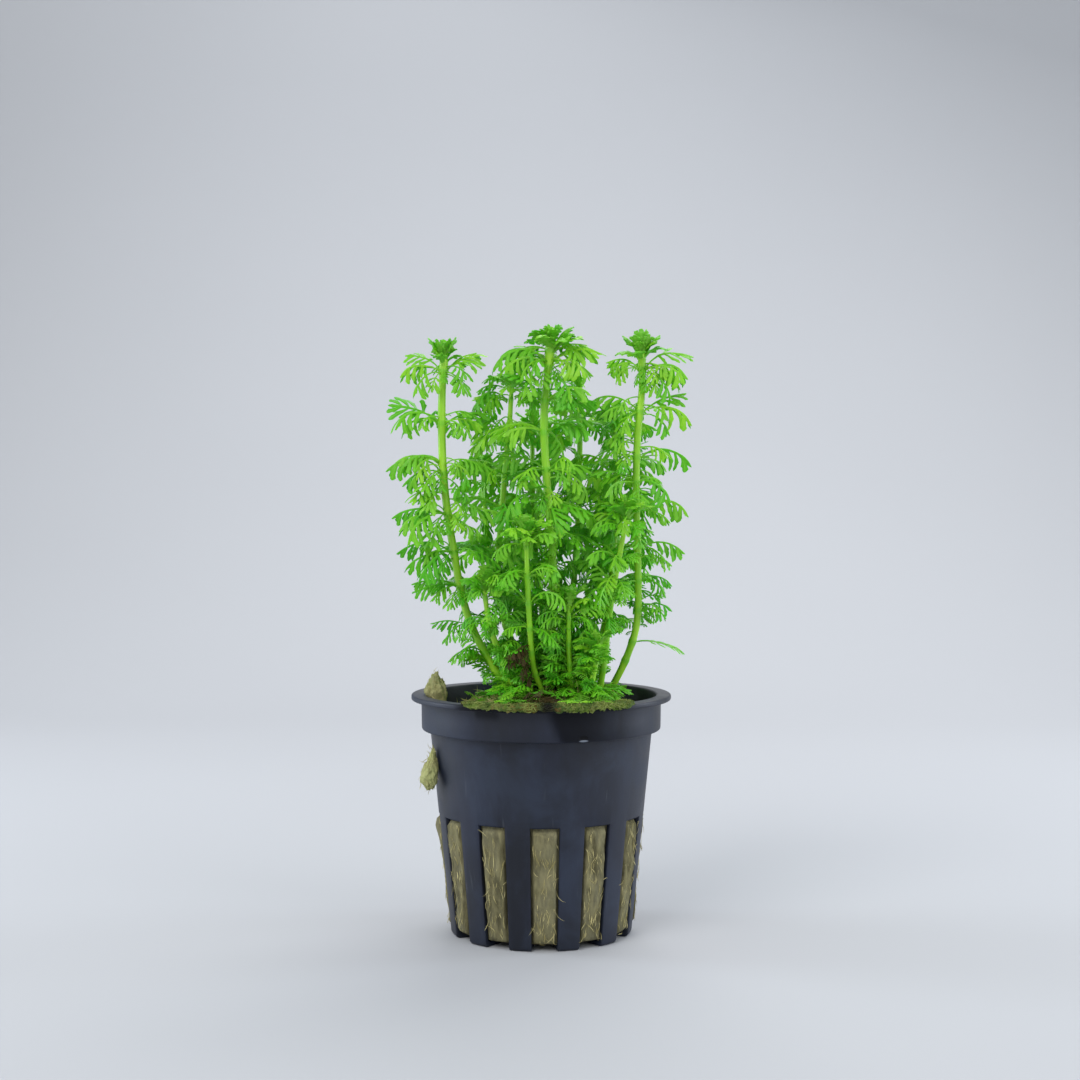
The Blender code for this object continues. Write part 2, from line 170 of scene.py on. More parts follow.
# Leaves that stand out at the photograph's outline, by shoot and whorl: azimuth in degrees (0 right, 180 left, 270
# to the viewer), reach, angles at which the leaf leaves the stem and ends, how soon it bends, how its fingers fold
# down, and how broad they are (0 broad, 2 fine)
SEEN_LEAVES = {
    "left_tall": {
        118.3: [(160, 9.4, 58, -8, 0.8, 0.3, 1), (198, 9.4, 38, -62, 1.1, 0.8, 0), (232, 4.6, -5, -86, 0.6, 0.3, 0),
                (282, 2.8, -10, -88, 0.6, 0.2, 0), (322, 6.6, 5, -80, 0.8, 0.5, 0), (12, 7.4, 56, 8, 0.9, 0.4, 1),
                (38, 10.6, 52, -4, 0.9, 0.4, 1), (100, 8.5, 50, -40, 1.0, 0.7, 1)],
        107.6: [(166, 12.2, 50, 0, 0.6, 0.15, 1), (199, 10.6, 52, -76, 1.0, 0.7, 0), (322, 6.2, 20, -85, 1.0, 0.9, 0),
                (22, 11.0, 48, -14, 0.8, 0.7, 1), (350, 9.0, 30, -45, 1.0, 0.9, 1)],
        97.2: [(176, 12.1, 68, -48, 0.7, 1.0, 1), (203, 9.0, 20, -62, 1.0, 0.9, 0), (232, 7.4, -12, -58, 1.0, 0.4, 0),
               (214, 8.0, 34, -80, 0.9, 0.8, 0), (258, 4.4, -20, -86, 0.7, 0.4, 0),
               (326, 7.0, 58, -82, 0.7, 1.0, 0), (8, 11.4, 62, -42, 0.7, 1.0, 1)],
        88.6: [(168, 12.4, 22, -40, 1.2, 0.9, 2), (196, 10.6, 20, -58, 0.9, 0.8, 1), (222, 10.6, 22, -76, 0.8, 0.8, 1),
               (208, 8.0, 44, -84, 0.9, 0.9, 0), (246, 6.2, 4, -84, 0.8, 0.5, 0), (270, 4.4, -20, -80, 0.8, 0.3, 1),
               (4, 12.0, 32, -35, 1.0, 0.7, 1)],
        80.6: [(172, 12.3, 38, -46, 1.0, 1.0, 2), (198, 10.4, 10, -52, 1.0, 0.9, 1), (226, 9.4, 2, -70, 0.9, 0.7, 1),
               (210, 7.4, 40, -80, 0.9, 0.9, 0), (250, 6.0, 4, -84, 0.8, 0.6, 1)],
        73.4: [(170, 10.4, 28, -28, 1.0, 0.9, 2), (195, 10.2, 12, -30, 1.0, 0.7, 2), (222, 7.4, 4, -52, 0.9, 0.6, 2),
               (206, 6.4, 40, -60, 0.9, 0.8, 1), (250, 5.4, 0, -84, 0.8, 0.6, 1), (272, 4.2, -20, -80, 0.8, 0.3, 2)],
        65.6: [(178, 8.6, 18, -18, 1.0, 1.1, 2), (210, 6.6, -5, -66, 0.9, 0.8, 2), (244, 5.4, 6, -80, 0.9, 0.7, 2),
               (276, 4.4, -10, -80, 0.8, 0.5, 2)],
        59.4: [(184, 7.8, 30, -58, 0.9, 0.8, 2), (204, 6.0, 10, -60, 0.9, 0.8, 2)],
    },
    "middle_tall": {
        122.5: [(174, 10.2, 20, -44, 1.0, 0.6, 1), (198, 8.6, 6, -72, 0.9, 0.7, 0), (152, 8.4, 34, -40, 1.0, 0.6, 1),
                (6, 7.6, 36, -18, 1.0, 0.5, 1), (335, 6.6, 16, -64, 1.0, 0.6, 0), (30, 8.0, 36, -30, 1.0, 0.6, 1),
                (90, 6.0, 40, -40, 1.0, 0.6, 1)],
        119.2: [(184, 11.9, 72, -78, 0.85, 0.4, 1), (206, 10.4, 52, -70, 0.9, 0.6, 1), (160, 11.2, 74, -40, 0.8, 0.5, 2),
                (354, 12.0, 62, -26, 0.7, 0.6, 1), (330, 9.0, 50, -80, 0.9, 0.6, 0), (22, 10.6, 68, -20, 0.8, 0.5, 2),
                (296, 4.6, -18, -88, 0.6, 0.5, 0), (246, 5.0, -10, -86, 0.6, 0.6, 0), (72, 10.0, 55, -40, 1.0, 0.6, 1),
                (118, 10.0, 55, -40, 1.0, 0.6, 1)],
    },
    "right_tall": {
        119.0: [(12, 11.5, 58, -26, 0.8, 0.3, 2), (336, 9.6, 22, -80, 1.3, 1.0, 0), (304, 6.2, -14, -86, 0.7, 0.7, 0),
                (350, 8.0, 10, -76, 1.0, 0.8, 0), (276, 3.6, -10, -86, 0.7, 0.4, 1),
                (190, 6.0, 64, -88, 0.9, 1.0, 0), (250, 4.0, -5, -86, 0.7, 0.7, 0), (150, 8.6, 58, -26, 0.8, 0.8, 1),
                (95, 8.0, 50, -40, 1.0, 0.7, 1)],
        110.0: [(345, 11.0, 32, -66, 1.0, 1.0, 1), (18, 10.8, 42, 4, 0.9, 0.5, 1), (228, 6.4, 4, -84, 0.8, 0.5, 0),
                (196, 9.0, 30, -50, 1.0, 0.9, 1)],
        100.6: [(2, 11.5, 36, -70, 1.2, 1.0, 1), (230, 6.0, 10, -80, 0.9, 0.8, 1)],
        95.4: [(322, 8.6, 22, -76, 0.9, 0.8, 0), (272, 5.4, -24, -78, 0.8, 0.2, 0), (30, 7.0, 30, -40, 1.0, 0.8, 2)],
        89.7: [(4, 11.2, 46, -66, 1.0, 1.1, 1), (338, 7.6, 0, -48, 1.0, 0.9, 2)],
        81.7: [(6, 10.3, 30, -50, 1.0, 1.1, 1), (330, 6.6, 10, -64, 1.0, 0.8, 2)],
        74.6: [(352, 7.2, 24, -56, 1.0, 0.9, 2), (326, 6.4, 22, -78, 0.9, 0.8, 1)],
        68.4: [(354, 7.4, 44, -54, 1.0, 0.5, 0), (334, 6.4, 30, -60, 0.9, 0.5, 0), (320, 4.6, 0, -70, 1.0, 0.8, 1)],
        61.6: [],
    },
}

# More leaves between those whorls, where the photograph is dense: height, then the same values
MORE_LEAVES = {
    "left_tall": [
        (118.0, 214, 7.4, 12, -82, 0.8, 0.6, 0), (118.4, 186, 7.6, 30, -60, 1.0, 0.6, 0), (117.6, 330, 5.6, 0, -84, 0.8, 0.5, 0),
        (118.6, 352, 8.4, 40, -30, 1.0, 0.5, 1), (107.2, 186, 8.6, 56, -74, 0.8, 0.6, 0), (107.0, 340, 7.2, 24, -76, 1.0, 0.8, 0),
        (98.6, 194, 8.4, 62, -56, 0.8, 0.8, 0), (98.2, 216, 6.6, 46, -82, 0.8, 0.8, 0), (97.8, 340, 6.8, 50, -70, 0.8, 0.9, 0),
        (95.4, 202, 8.2, -16, -52, 1.0, 0.3, 1), (94.8, 230, 6.4, -24, -72, 0.8, 0.3, 0), (94.2, 190, 6.2, -20, -40, 1.0, 0.3, 1),
        (89.4, 196, 7.2, 56, -58, 0.8, 0.7, 0), (87.6, 232, 6.8, -10, -84, 0.8, 0.4, 0), (82.0, 202, 7.0, 50, -64, 0.8, 0.8, 1),
        (79.2, 234, 5.8, 0, -80, 0.8, 0.5, 1), (99.6, 188, 8.8, 48, -58, 0.8, 0.7, 0), (99.4, 210, 6.6, 44, -80, 0.8, 0.7, 0),
        (99.2, 170, 10.0, 46, -36, 0.8, 0.7, 1), (99.0, 350, 8.4, 46, -58, 0.8, 0.8, 1), (109.0, 352, 6.6, 34, -20, 0.8, 0.5, 0),
        (108.6, 214, 5.6, 30, -80, 0.8, 0.5, 0), (119.0, 330, 6.8, 30, -74, 0.8, 0.4, 0), (99.0, 312, 5.2, 30, -84, 0.8, 0.5, 0),
        (97.6, 232, 5.0, 20, -84, 0.8, 0.5, 0), (93.6, 346, 5.6, 26, -70, 0.8, 0.6, 0), (92.8, 206, 5.6, 30, -70, 0.8, 0.6, 0),
        (91.6, 322, 5.4, 14, -80, 0.8, 0.5, 0), (90.4, 354, 7.4, 34, -56, 0.8, 0.6, 1), (87.4, 336, 6.4, 10, -64, 0.8, 0.6, 1),
        (100.2, 336, 5.8, 10, -78, 0.8, 0.5, 0), (96.0, 318, 4.8, 0, -82, 0.8, 0.4, 0), (93.4, 226, 4.6, 0, -82, 0.8, 0.4, 0),
        (88.6, 306, 5.0, 0, -80, 0.8, 0.4, 1), (86.0, 352, 7.2, 24, -54, 0.8, 0.6, 1),
    ],
    "middle_tall": [
        (120.6, 168, 9.8, 44, -64, 0.9, 0.7, 0), (120.2, 212, 7.6, 20, -82, 0.8, 0.7, 0), (118.4, 262, 4.4, -24, -88, 0.6, 0.4, 0),
        (118.0, 222, 8.2, 0, -80, 0.8, 0.5, 0), (117.6, 318, 7.2, -6, -82, 0.8, 0.5, 0), (118.6, 12, 9.4, 40, -56, 0.9, 0.6, 0),
        (97.5, 318, 6.4, 10, -64, 0.9, 0.7, 0), (96.0, 340, 8.0, 20, -60, 0.9, 0.8, 1), (94.0, 282, 4.8, 0, -84, 0.8, 0.3, 0),
        (93.0, 246, 4.8, 0, -84, 0.8, 0.3, 0), (91.5, 268, 5.2, 4, -86, 0.8, 0.3, 0), (88.0, 292, 4.8, 0, -84, 0.8, 0.3, 0),
        (87.0, 252, 4.8, 0, -84, 0.8, 0.3, 0), (84.0, 274, 5.0, 4, -84, 0.8, 0.3, 1), (80.5, 288, 4.6, 0, -84, 0.8, 0.3, 1),
        (77.0, 262, 4.6, 0, -84, 0.8, 0.3, 1), (73.0, 284, 4.6, 0, -84, 0.8, 0.3, 1), (120.4, 320, 6.4, 24, -84, 0.8, 0.4, 0),
        (120.2, 238, 5.8, 24, -84, 0.8, 0.4, 0), (119.4, 284, 4.0, -16, -86, 0.7, 0.3, 0), (121.2, 186, 8.2, 30, -66, 0.9, 0.5, 0),
        (114.4, 322, 7.0, 14, -78, 0.8, 0.5, 0), (114.0, 350, 8.4, 26, -50, 0.9, 0.6, 1),
    ],
    "right_tall": [
        (118.6, 206, 6.0, 34, -86, 0.9, 0.8, 0), (118.2, 322, 7.4, 0, -80, 0.8, 0.6, 0), (118.8, 344, 9.6, 34, -62, 1.0, 0.6, 0),
        (117.8, 290, 4.2, -20, -86, 0.7, 0.4, 0), (118.4, 172, 7.6, 54, -60, 0.9, 0.8, 1), (109.4, 330, 8.6, 12, -80, 0.8, 0.8, 0),
        (104.6, 204, 6.6, 20, -64, 1.0, 0.8, 0), (103.4, 176, 7.4, 40, -40, 1.0, 0.8, 1), (102.4, 336, 7.4, 20, -60, 1.0, 0.8, 1),
        (96.0, 200, 6.0, 20, -70, 0.9, 0.7, 0), (103.8, 218, 5.6, 26, -78, 0.8, 0.7, 0), (105.6, 192, 6.8, 20, -60, 0.8, 0.7, 1),
        (119.8, 338, 7.2, 18, -66, 0.8, 0.25, 0), (119.4, 316, 5.0, 0, -80, 0.8, 0.3, 0), (111.2, 332, 6.4, 12, -66, 0.8, 0.3, 0),
        (70.4, 352, 6.6, 48, -36, 0.9, 0.2, 0), (69.2, 336, 5.4, 30, -60, 0.9, 0.2, 0), (66.4, 196, 4.4, 10, -60, 0.9, 0.7, 2),
        (63.6, 205, 3.8, 20, -60, 0.9, 0.7, 2), (68.0, 12, 5.8, 26, -60, 0.9, 0.6, 1), (66.8, 350, 5.0, 10, -64, 0.9, 0.6, 2),
        (66.0, 214, 5.2, 16, -56, 0.9, 0.6, 1), (65.0, 16, 4.2, 30, -50, 0.9, 0.5, 2), (79.5, 356, 8.4, 20, -50, 0.9, 0.6, 1),
        (120.0, 352, 6.2, 0, -66, 0.8, 0.5, 0), (103.2, 196, 6.4, 30, -70, 0.8, 0.6, 0), (101.6, 226, 5.2, 10, -80, 0.8, 0.5, 0),
        (96.6, 344, 6.2, 10, -70, 0.8, 0.5, 0), (93.8, 352, 6.0, 20, -64, 0.8, 0.6, 0), (113.0, 200, 5.6, 10, -74, 0.8, 0.6, 0),
        (56.4, 196, 3.0, 30, -40, 0.8, 0.4, 2), (55.6, 344, 2.8, 30, -40, 0.8, 0.4, 2), (55.0, 172, 2.8, 40, -20, 0.8, 0.4, 2),
    ],
    "left_inner": [
        (115.0, 184, 8.6, 34, -44, 1.0, 0.7, 1), (113.8, 214, 7.4, 14, -72, 0.9, 0.7, 0), (112.6, 162, 8.2, 40, -36, 1.0, 0.7, 1),
        (109.0, 236, 6.2, 10, -72, 0.9, 0.6, 0), (106.8, 200, 8.6, 24, -60, 0.9, 0.8, 1), (103.0, 178, 8.6, 30, -50, 1.0, 0.8, 1),
        (117.0, 204, 6.6, 40, -56, 0.9, 0.6, 0), (112.0, 258, 4.6, 0, -84, 0.8, 0.3, 0), (109.4, 284, 4.8, 0, -84, 0.8, 0.3, 0),
        (106.4, 252, 5.0, 6, -84, 0.8, 0.3, 0), (102.4, 276, 5.0, 6, -84, 0.8, 0.3, 1), (114.6, 296, 5.2, 20, -80, 0.8, 0.4, 0),
    ],
    "back_right_tall": [
        (99.0, 206, 8.4, 20, -60, 0.9, 0.6, 1), (96.6, 236, 7.0, 10, -70, 0.9, 0.6, 1), (94.0, 214, 8.0, 6, -60, 0.9, 0.6, 1),
        (81.0, 210, 8.6, 30, -50, 0.9, 0.6, 2), (78.0, 236, 7.0, 10, -66, 0.9, 0.6, 2),
    ],
    "right_front": [
        (88.0, 255, 5.2, 10, -84, 0.8, 0.3, 0), (85.0, 285, 5.4, 10, -84, 0.8, 0.3, 0), (80.5, 262, 5.6, 10, -84, 0.8, 0.3, 0),
        (76.0, 248, 5.4, 10, -84, 0.8, 0.3, 1), (75.0, 290, 5.4, 10, -84, 0.8, 0.3, 1), (70.5, 264, 5.0, 10, -84, 0.8, 0.3, 2),
        (60.4, 352, 3.4, 40, -40, 0.8, 0.4, 2), (59.2, 336, 3.4, 20, -50, 0.8, 0.4, 2), (58.0, 8, 3.2, 40, -30, 0.8, 0.4, 2),
        (57.0, 340, 3.0, 30, -50, 0.8, 0.4, 2), (56.0, 20, 3.0, 40, -40, 0.8, 0.4, 2), (55.0, 350, 2.8, 40, -30, 0.8, 0.4, 2),
    ],
    "left_low": [
        (74.0, 262, 5.2, 10, -84, 0.8, 0.3, 1), (70.0, 284, 5.2, 10, -84, 0.8, 0.3, 2), (69.0, 246, 5.2, 10, -84, 0.8, 0.3, 1),
        (65.0, 268, 5.0, 10, -84, 0.8, 0.3, 2), (61.5, 280, 4.6, 10, -84, 0.8, 0.3, 2), (60.5, 252, 4.6, 10, -84, 0.8, 0.3, 2),
    ],
}


# --------------------------------------------------------------- mesh helpers
def mesh_object(name, verts, tris, material, smooth=40.0, attributes=None, uv=None):
    """An object of triangles. verts are in mm; attributes holds values per vertex ("name") or per face ("name:face")."""
    verts = np.asarray(verts, np.float64) * MM
    tris = np.asarray(tris, np.int32)
    me = bpy.data.meshes.new(name)
    me.vertices.add(len(verts))
    me.vertices.foreach_set("co", verts.astype(np.float32).ravel())
    me.loops.add(3 * len(tris))
    me.polygons.add(len(tris))
    me.polygons.foreach_set("loop_start", np.arange(0, 3 * len(tris), 3, dtype=np.int32))
    me.polygons.foreach_set("vertices", tris.ravel())
    me.update(calc_edges=True)
    for key, values in (attributes or {}).items():
        where = "FACE" if key.endswith(":face") else "POINT"
        layer = me.attributes.new(key.split(":")[0], "FLOAT", where)
        layer.data.foreach_set("value", np.asarray(values, np.float32))
    if uv is not None:
        layer = me.uv_layers.new(name="OFBake")
        layer.uv.foreach_set("vector", np.asarray(uv, np.float32).ravel())
    me.materials.append(material)
    me.shade_smooth()
    me.set_sharp_from_angle(angle=math.radians(smooth))
    ob = bpy.data.objects.new(name, me)
    bpy.context.scene.collection.objects.link(ob)
    return ob


def noise_field(seed, scale, octaves=3):
    """A smooth random function of points, about -1 to 1, made of a few sine waves in each octave."""
    rng = np.random.default_rng(seed)
    waves = []
    for o in range(octaves):
        for _ in range(7):
            way = rng.normal(size=3)
            way /= np.linalg.norm(way)
            k = way * 2 * math.pi / scale * 2.0**o * rng.uniform(0.7, 1.4)
            waves.append((k, rng.uniform(0, 2 * math.pi), 0.5**o))
    total = math.sqrt(sum(w[2] ** 2 for w in waves) / 2)

    def value(points):
        out = np.zeros(len(points))
        for k, phase, size in waves:
            out += size * np.sin(points @ k + phase)
        return out / (1.8 * total)

    return value


def tubes(lines, radii, sides):
    """Closed tubes along lines (n, m, 3) with radii (n, m); both ends run to a point. Returns (verts, tris)."""
    lines, radii = np.asarray(lines, float), np.asarray(radii, float)
    n, m, _ = lines.shape
    way = np.gradient(lines, axis=1)
    way /= np.maximum(np.linalg.norm(way, axis=2, keepdims=True), 1e-9)
    other = np.where(np.abs(way[..., 2:3]) < 0.85, [[[0.0, 0.0, 1.0]]], [[[1.0, 0.0, 0.0]]])
    # One reference for each line keeps its rings from turning
    other = np.repeat(other[:, m // 2 : m // 2 + 1], m, axis=1)
    a = np.cross(way, other)
    a /= np.maximum(np.linalg.norm(a, axis=2, keepdims=True), 1e-9)
    b = np.cross(way, a)
    turn = 2 * math.pi * np.arange(sides) / sides
    rings = (lines[:, 1:-1, None] + radii[:, 1:-1, None, None]
             * (np.cos(turn)[None, None, :, None] * a[:, 1:-1, None]
                + np.sin(turn)[None, None, :, None] * b[:, 1:-1, None]))
    k = m - 2
    verts = np.concatenate([lines[:, :1], rings.reshape(n, k * sides, 3), lines[:, -1:]], 1)
    one = []
    for s in range(sides):
        t = (s + 1) % sides
        one.append((0, 1 + s, 1 + t))
        for r in range(k - 1):
            p, q = 1 + r * sides, 1 + (r + 1) * sides
            one += [(p + s, q + s, q + t), (p + s, q + t, p + t)]
        p = 1 + (k - 1) * sides
        one.append((p + s, k * sides + 1, p + t))
    one = np.array(one)
    per = k * sides + 2
    tris = (one[None] + per * np.arange(n)[:, None, None]).reshape(-1, 3)
    return verts.reshape(-1, 3), tris


def joined(parts):
    """Several (verts, tris) as one."""
    verts, tris, start = [], [], 0
    for v, t in parts:
        verts.append(v)
        tris.append(np.asarray(t) + start)
        start += len(v)
    return np.concatenate(verts), np.concatenate(tris)


def outwards(ob):
    """Turns the faces of a closed mesh outwards."""
    bm = bmesh.new()
    bm.from_mesh(ob.data)
    bmesh.ops.recalc_face_normals(bm, faces=bm.faces[:])
    bm.to_mesh(ob.data)
    bm.free()


# ------------------------------------------------------------------ materials
class Look:
    """A material's node tree, built step by step."""

    def __init__(self, name, roughness=0.5):
        self.mat = bpy.data.materials.new(name)
        self.mat.use_nodes = True
        self.nodes = self.mat.node_tree.nodes
        self.links = self.mat.node_tree.links
        self.shader = self.nodes["Principled BSDF"]
        self.shader.inputs["Roughness"].default_value = roughness
        self.coords = self.nodes.new("ShaderNodeTexCoord").outputs["Object"]

    def put(self, socket, value):
        if isinstance(value, bpy.types.NodeSocket):
            self.links.new(value, socket)
        else:
            socket.default_value = value

    def stretched(self, x, y, z):
        node = self.nodes.new("ShaderNodeMapping")
        node.inputs["Scale"].default_value = (x, y, z)
        self.links.new(self.coords, node.inputs["Vector"])
        return node.outputs[0]

    def noise(self, scale, detail=3.0, rough=0.55, coords=None, distortion=0.0):
        """scale is in waves per metre."""
        node = self.nodes.new("ShaderNodeTexNoise")
        node.inputs["Scale"].default_value = scale
        node.inputs["Detail"].default_value = detail
        node.inputs["Roughness"].default_value = rough
        node.inputs["Distortion"].default_value = distortion
        self.links.new(coords or self.coords, node.inputs["Vector"])
        return node.outputs["Fac"]

    def spots(self, scale, coords=None):
        node = self.nodes.new("ShaderNodeTexVoronoi")
        node.inputs["Scale"].default_value = scale
        self.links.new(coords or self.coords, node.inputs["Vector"])
        return node.outputs["Distance"]

    def attribute(self, name):
        node = self.nodes.new("ShaderNodeAttribute")
        node.attribute_name = name
        return node.outputs["Fac"]

    def remap(self, value, low, high, to_low=0.0, to_high=1.0):
        node = self.nodes.new("ShaderNodeMapRange")
        node.interpolation_type = "SMOOTHSTEP"
        self.put(node.inputs["Value"], value)
        node.inputs["From Min"].default_value = low
        node.inputs["From Max"].default_value = high
        node.inputs["To Min"].default_value = to_low
        node.inputs["To Max"].default_value = to_high
        return node.outputs[0]

    def math(self, operation, a, b=0.0):
        node = self.nodes.new("ShaderNodeMath")
        node.operation = operation
        self.put(node.inputs[0], a)
        self.put(node.inputs[1], b)
        return node.outputs[0]

    def mix(self, share, a, b, way="MIX"):
        node = self.nodes.new("ShaderNodeMix")
        node.data_type = "RGBA"
        node.blend_type = way
        self.put(node.inputs[0], share)
        for socket, colour in ((node.inputs[6], a), (node.inputs[7], b)):
            self.put(socket, (*colour, 1.0) if isinstance(colour, tuple) else colour)
        return node.outputs[2]

    def bump(self, height, strength, distance, normal=None):
        node = self.nodes.new("ShaderNodeBump")
        node.inputs["Strength"].default_value = strength
        node.inputs["Distance"].default_value = distance * MM
        self.links.new(height, node.inputs["Height"])
        if normal is not None:
            self.links.new(normal, node.inputs["Normal"])
        return node.outputs[0]

    def done(self, colour, roughness=None, normal=None):
        self.put(self.shader.inputs["Base Color"], colour)
        if roughness is not None:
            self.put(self.shader.inputs["Roughness"], roughness)
        if normal is not None:
            self.links.new(normal, self.shader.inputs["Normal"])
        return self.mat


def srgb(r, g, b):
    """A colour given as sRGB steps of 255, in linear light."""
    def one(c):
        c /= 255.0
        return c / 12.92 if c <= 0.04045 else ((c + 0.055) / 1.055) ** 2.4
    return one(r), one(g), one(b)


def leaf_look():
    k = Look("leaf_green", 0.5)
    tint, age = k.attribute("tint"), k.attribute("age")
    across, along = k.attribute("across"), k.attribute("along")
    under, wither = k.attribute("under"), k.attribute("wither")
    patches = k.noise(260.0, 3.0)
    fine = k.noise(1500.0, 2.0)
    fresh = k.mix(tint, srgb(102, 202, 26), srgb(170, 230, 48))
    deep = k.mix(tint, srgb(74, 190, 24), srgb(134, 218, 36))
    green = k.mix(k.remap(age, 0.0, 1.0), fresh, deep)
    green = k.mix(k.remap(patches, 0.35, 0.7, 0.0, 0.4), green, srgb(76, 172, 16))
    # Paler along the middle of each finger and near the stem
    vein = k.remap(across, 0.0, 0.28, 0.45, 0.0)
    green = k.mix(vein, green, srgb(168, 222, 92))
    foot = k.remap(along, 0.0, 0.35, 0.5, 0.0)
    green = k.mix(foot, green, srgb(160, 215, 60))
    green = k.mix(k.remap(under, 0.0, 1.0, 0.0, 0.35), green, srgb(140, 196, 92))
    brown = k.mix(fine, srgb(46, 30, 14), srgb(98, 72, 34))
    colour = k.mix(wither, green, brown)
    rough = k.remap(k.math("ADD", fine, k.math("MULTIPLY", wither, 0.6)), 0.2, 1.2, 0.38, 0.75)
    height = k.math("ADD", k.remap(across, 0.0, 0.3), k.math("MULTIPLY", fine, 0.35))
    k.shader.inputs["Specular IOR Level"].default_value = 0.45
    k.done(colour, rough, k.bump(height, 0.35, 0.06))
    through = k.nodes.new("ShaderNodeBsdfTranslucent")
    k.links.new(k.mix(0.5, colour, srgb(160, 240, 36)), through.inputs["Color"])
    both = k.nodes.new("ShaderNodeMixShader")
    both.inputs[0].default_value = 0.4
    k.links.new(k.shader.outputs[0], both.inputs[1])
    k.links.new(through.outputs[0], both.inputs[2])
    k.links.new(both.outputs[0], k.nodes["Material Output"].inputs["Surface"])
    return k.mat


def stem_look():
    k = Look("stem_green", 0.42)
    node = k.attribute("node")
    height = k.attribute("height")
    streaks = k.noise(420.0, 3.0, coords=k.stretched(1.0, 1.0, 0.09))
    fine = k.noise(2400.0, 2.0, coords=k.stretched(1.0, 1.0, 0.25))
    green = k.mix(k.remap(streaks, 0.3, 0.7), srgb(124, 192, 24), srgb(162, 216, 50))
    green = k.mix(k.remap(node, 0.2, 1.0, 0.0, 0.55), green, srgb(84, 180, 26))
    foot = k.remap(height, 0.0, 0.05, 0.6, 0.0)
    green = k.mix(foot, green, srgb(120, 132, 52))
    rough = k.remap(fine, 0.2, 0.8, 0.34, 0.5)
    k.shader.inputs["Specular IOR Level"].default_value = 0.5
    bumps = k.math("ADD", streaks, k.math("MULTIPLY", fine, 0.4))
    return k.done(green, rough, k.bump(bumps, 0.4, 0.08))


def wool_look():
    k = Look("rockwool", 0.9)
    streaks = k.noise(900.0, 4.0, 0.65, coords=k.stretched(1.0, 1.0, 0.22))
    lumps = k.noise(150.0, 4.0, 0.6)
    fine = k.noise(3200.0, 3.0, 0.7)
    top = k.attribute("top")
    khaki = k.mix(k.remap(streaks, 0.3, 0.72), srgb(104, 96, 58), srgb(176, 166, 108))
    khaki = k.mix(k.remap(lumps, 0.4, 0.7, 0.0, 0.7), khaki, srgb(128, 122, 66))
    khaki = k.mix(k.remap(fine, 0.62, 0.8, 0.0, 0.6), khaki, srgb(78, 68, 42))
    # Darker, greyer and duller in the slots
    patches = k.remap(k.noise(120.0, 3.0, 0.6, coords=k.stretched(1.0, 1.0, 0.45)), 0.38, 0.62)
    dark_patches = k.mix(patches, srgb(56, 55, 45), srgb(108, 107, 90))
    dark_patches = k.mix(k.remap(streaks, 0.35, 0.7, 0.0, 0.45), dark_patches, srgb(134, 130, 102))
    khaki = k.mix(k.math("MULTIPLY", k.math("SUBTRACT", 1.0, top), 0.72), khaki, dark_patches)
    khaki = k.mix(k.attribute("pale"), khaki, k.mix(lumps, srgb(176, 176, 104), srgb(214, 216, 166)))
    moss = k.math("MULTIPLY", k.remap(k.noise(230.0, 4.0, 0.6), 0.36, 0.55), top)
    khaki = k.mix(k.math("MULTIPLY", moss, 0.88), khaki, k.mix(fine, srgb(60, 98, 20), srgb(104, 136, 40)))
    # Duller and more olive over the rim
    khaki = k.mix(k.math("MULTIPLY", k.math("SUBTRACT", top, 1.0), 1.1), khaki, k.mix(lumps, srgb(58, 80, 26), srgb(104, 108, 58)))
    # Painted shade in the gaps between the shreds of moss, and brown patches where it has died
    gap_shade = k.math("MULTIPLY", k.remap(k.noise(1300.0, 3.0, 0.6), 0.5, 0.68, 0.0, 0.75), top)
    khaki = k.mix(gap_shade, khaki, srgb(44, 62, 18))
    dead = k.math("MULTIPLY", k.remap(k.noise(190.0, 3.0, 0.6), 0.56, 0.7, 0.0, 0.5), top)
    khaki = k.mix(dead, khaki, srgb(116, 92, 52))
    # Brown to the left of the hollow
    split = k.nodes.new("ShaderNodeSeparateXYZ")
    k.links.new(k.coords, split.inputs[0])
    middle = k.math("MULTIPLY", k.remap(split.outputs[0], -0.0065, -0.003), k.remap(split.outputs[0], 0.002, 0.004, 1.0, 0.0))
    middle = k.math("MULTIPLY", k.math("MULTIPLY", middle, k.remap(split.outputs[1], -0.018, -0.014, 1.0, 0.0)), top)
    khaki = k.mix(k.math("MULTIPLY", middle, 0.45), khaki, k.mix(fine, srgb(66, 48, 20), srgb(118, 92, 40)))
    # Painted shade: the hollow by the rim, nearly black
    khaki = k.mix(k.attribute("shade"), khaki, srgb(14, 13, 7))
    height = k.math("ADD", streaks, k.math("MULTIPLY", fine, 0.6))
    k.shader.inputs["Specular IOR Level"].default_value = 0.2
    return k.done(khaki, k.remap(fine, 0.2, 0.8, 0.8, 1.0), k.bump(height, 0.8, 0.3))


def fibre_look():
    k = Look("rockwool_fibres", 0.7)
    lumps = k.noise(500.0, 3.0)
    top = k.attribute("top")
    pale = k.mix(k.remap(lumps, 0.35, 0.65), srgb(150, 140, 86), srgb(200, 190, 136))
    green = k.mix(k.remap(k.noise(420.0, 2.0), 0.35, 0.65), srgb(62, 94, 26), srgb(146, 158, 76))
    colour = k.mix(k.math("MULTIPLY", top, 0.5), pale, green)
    colour = k.mix(k.math("MULTIPLY", k.math("SUBTRACT", top, 1.0), 0.5), colour, srgb(60, 78, 30))
    # Painted shade in the hollow by the rim
    colour = k.mix(k.math("MULTIPLY", k.attribute("shade"), 0.95), colour, srgb(22, 20, 10))
    k.shader.inputs["Specular IOR Level"].default_value = 0.3
    return k.done(colour, k.remap(lumps, 0.2, 0.8, 0.6, 0.8))


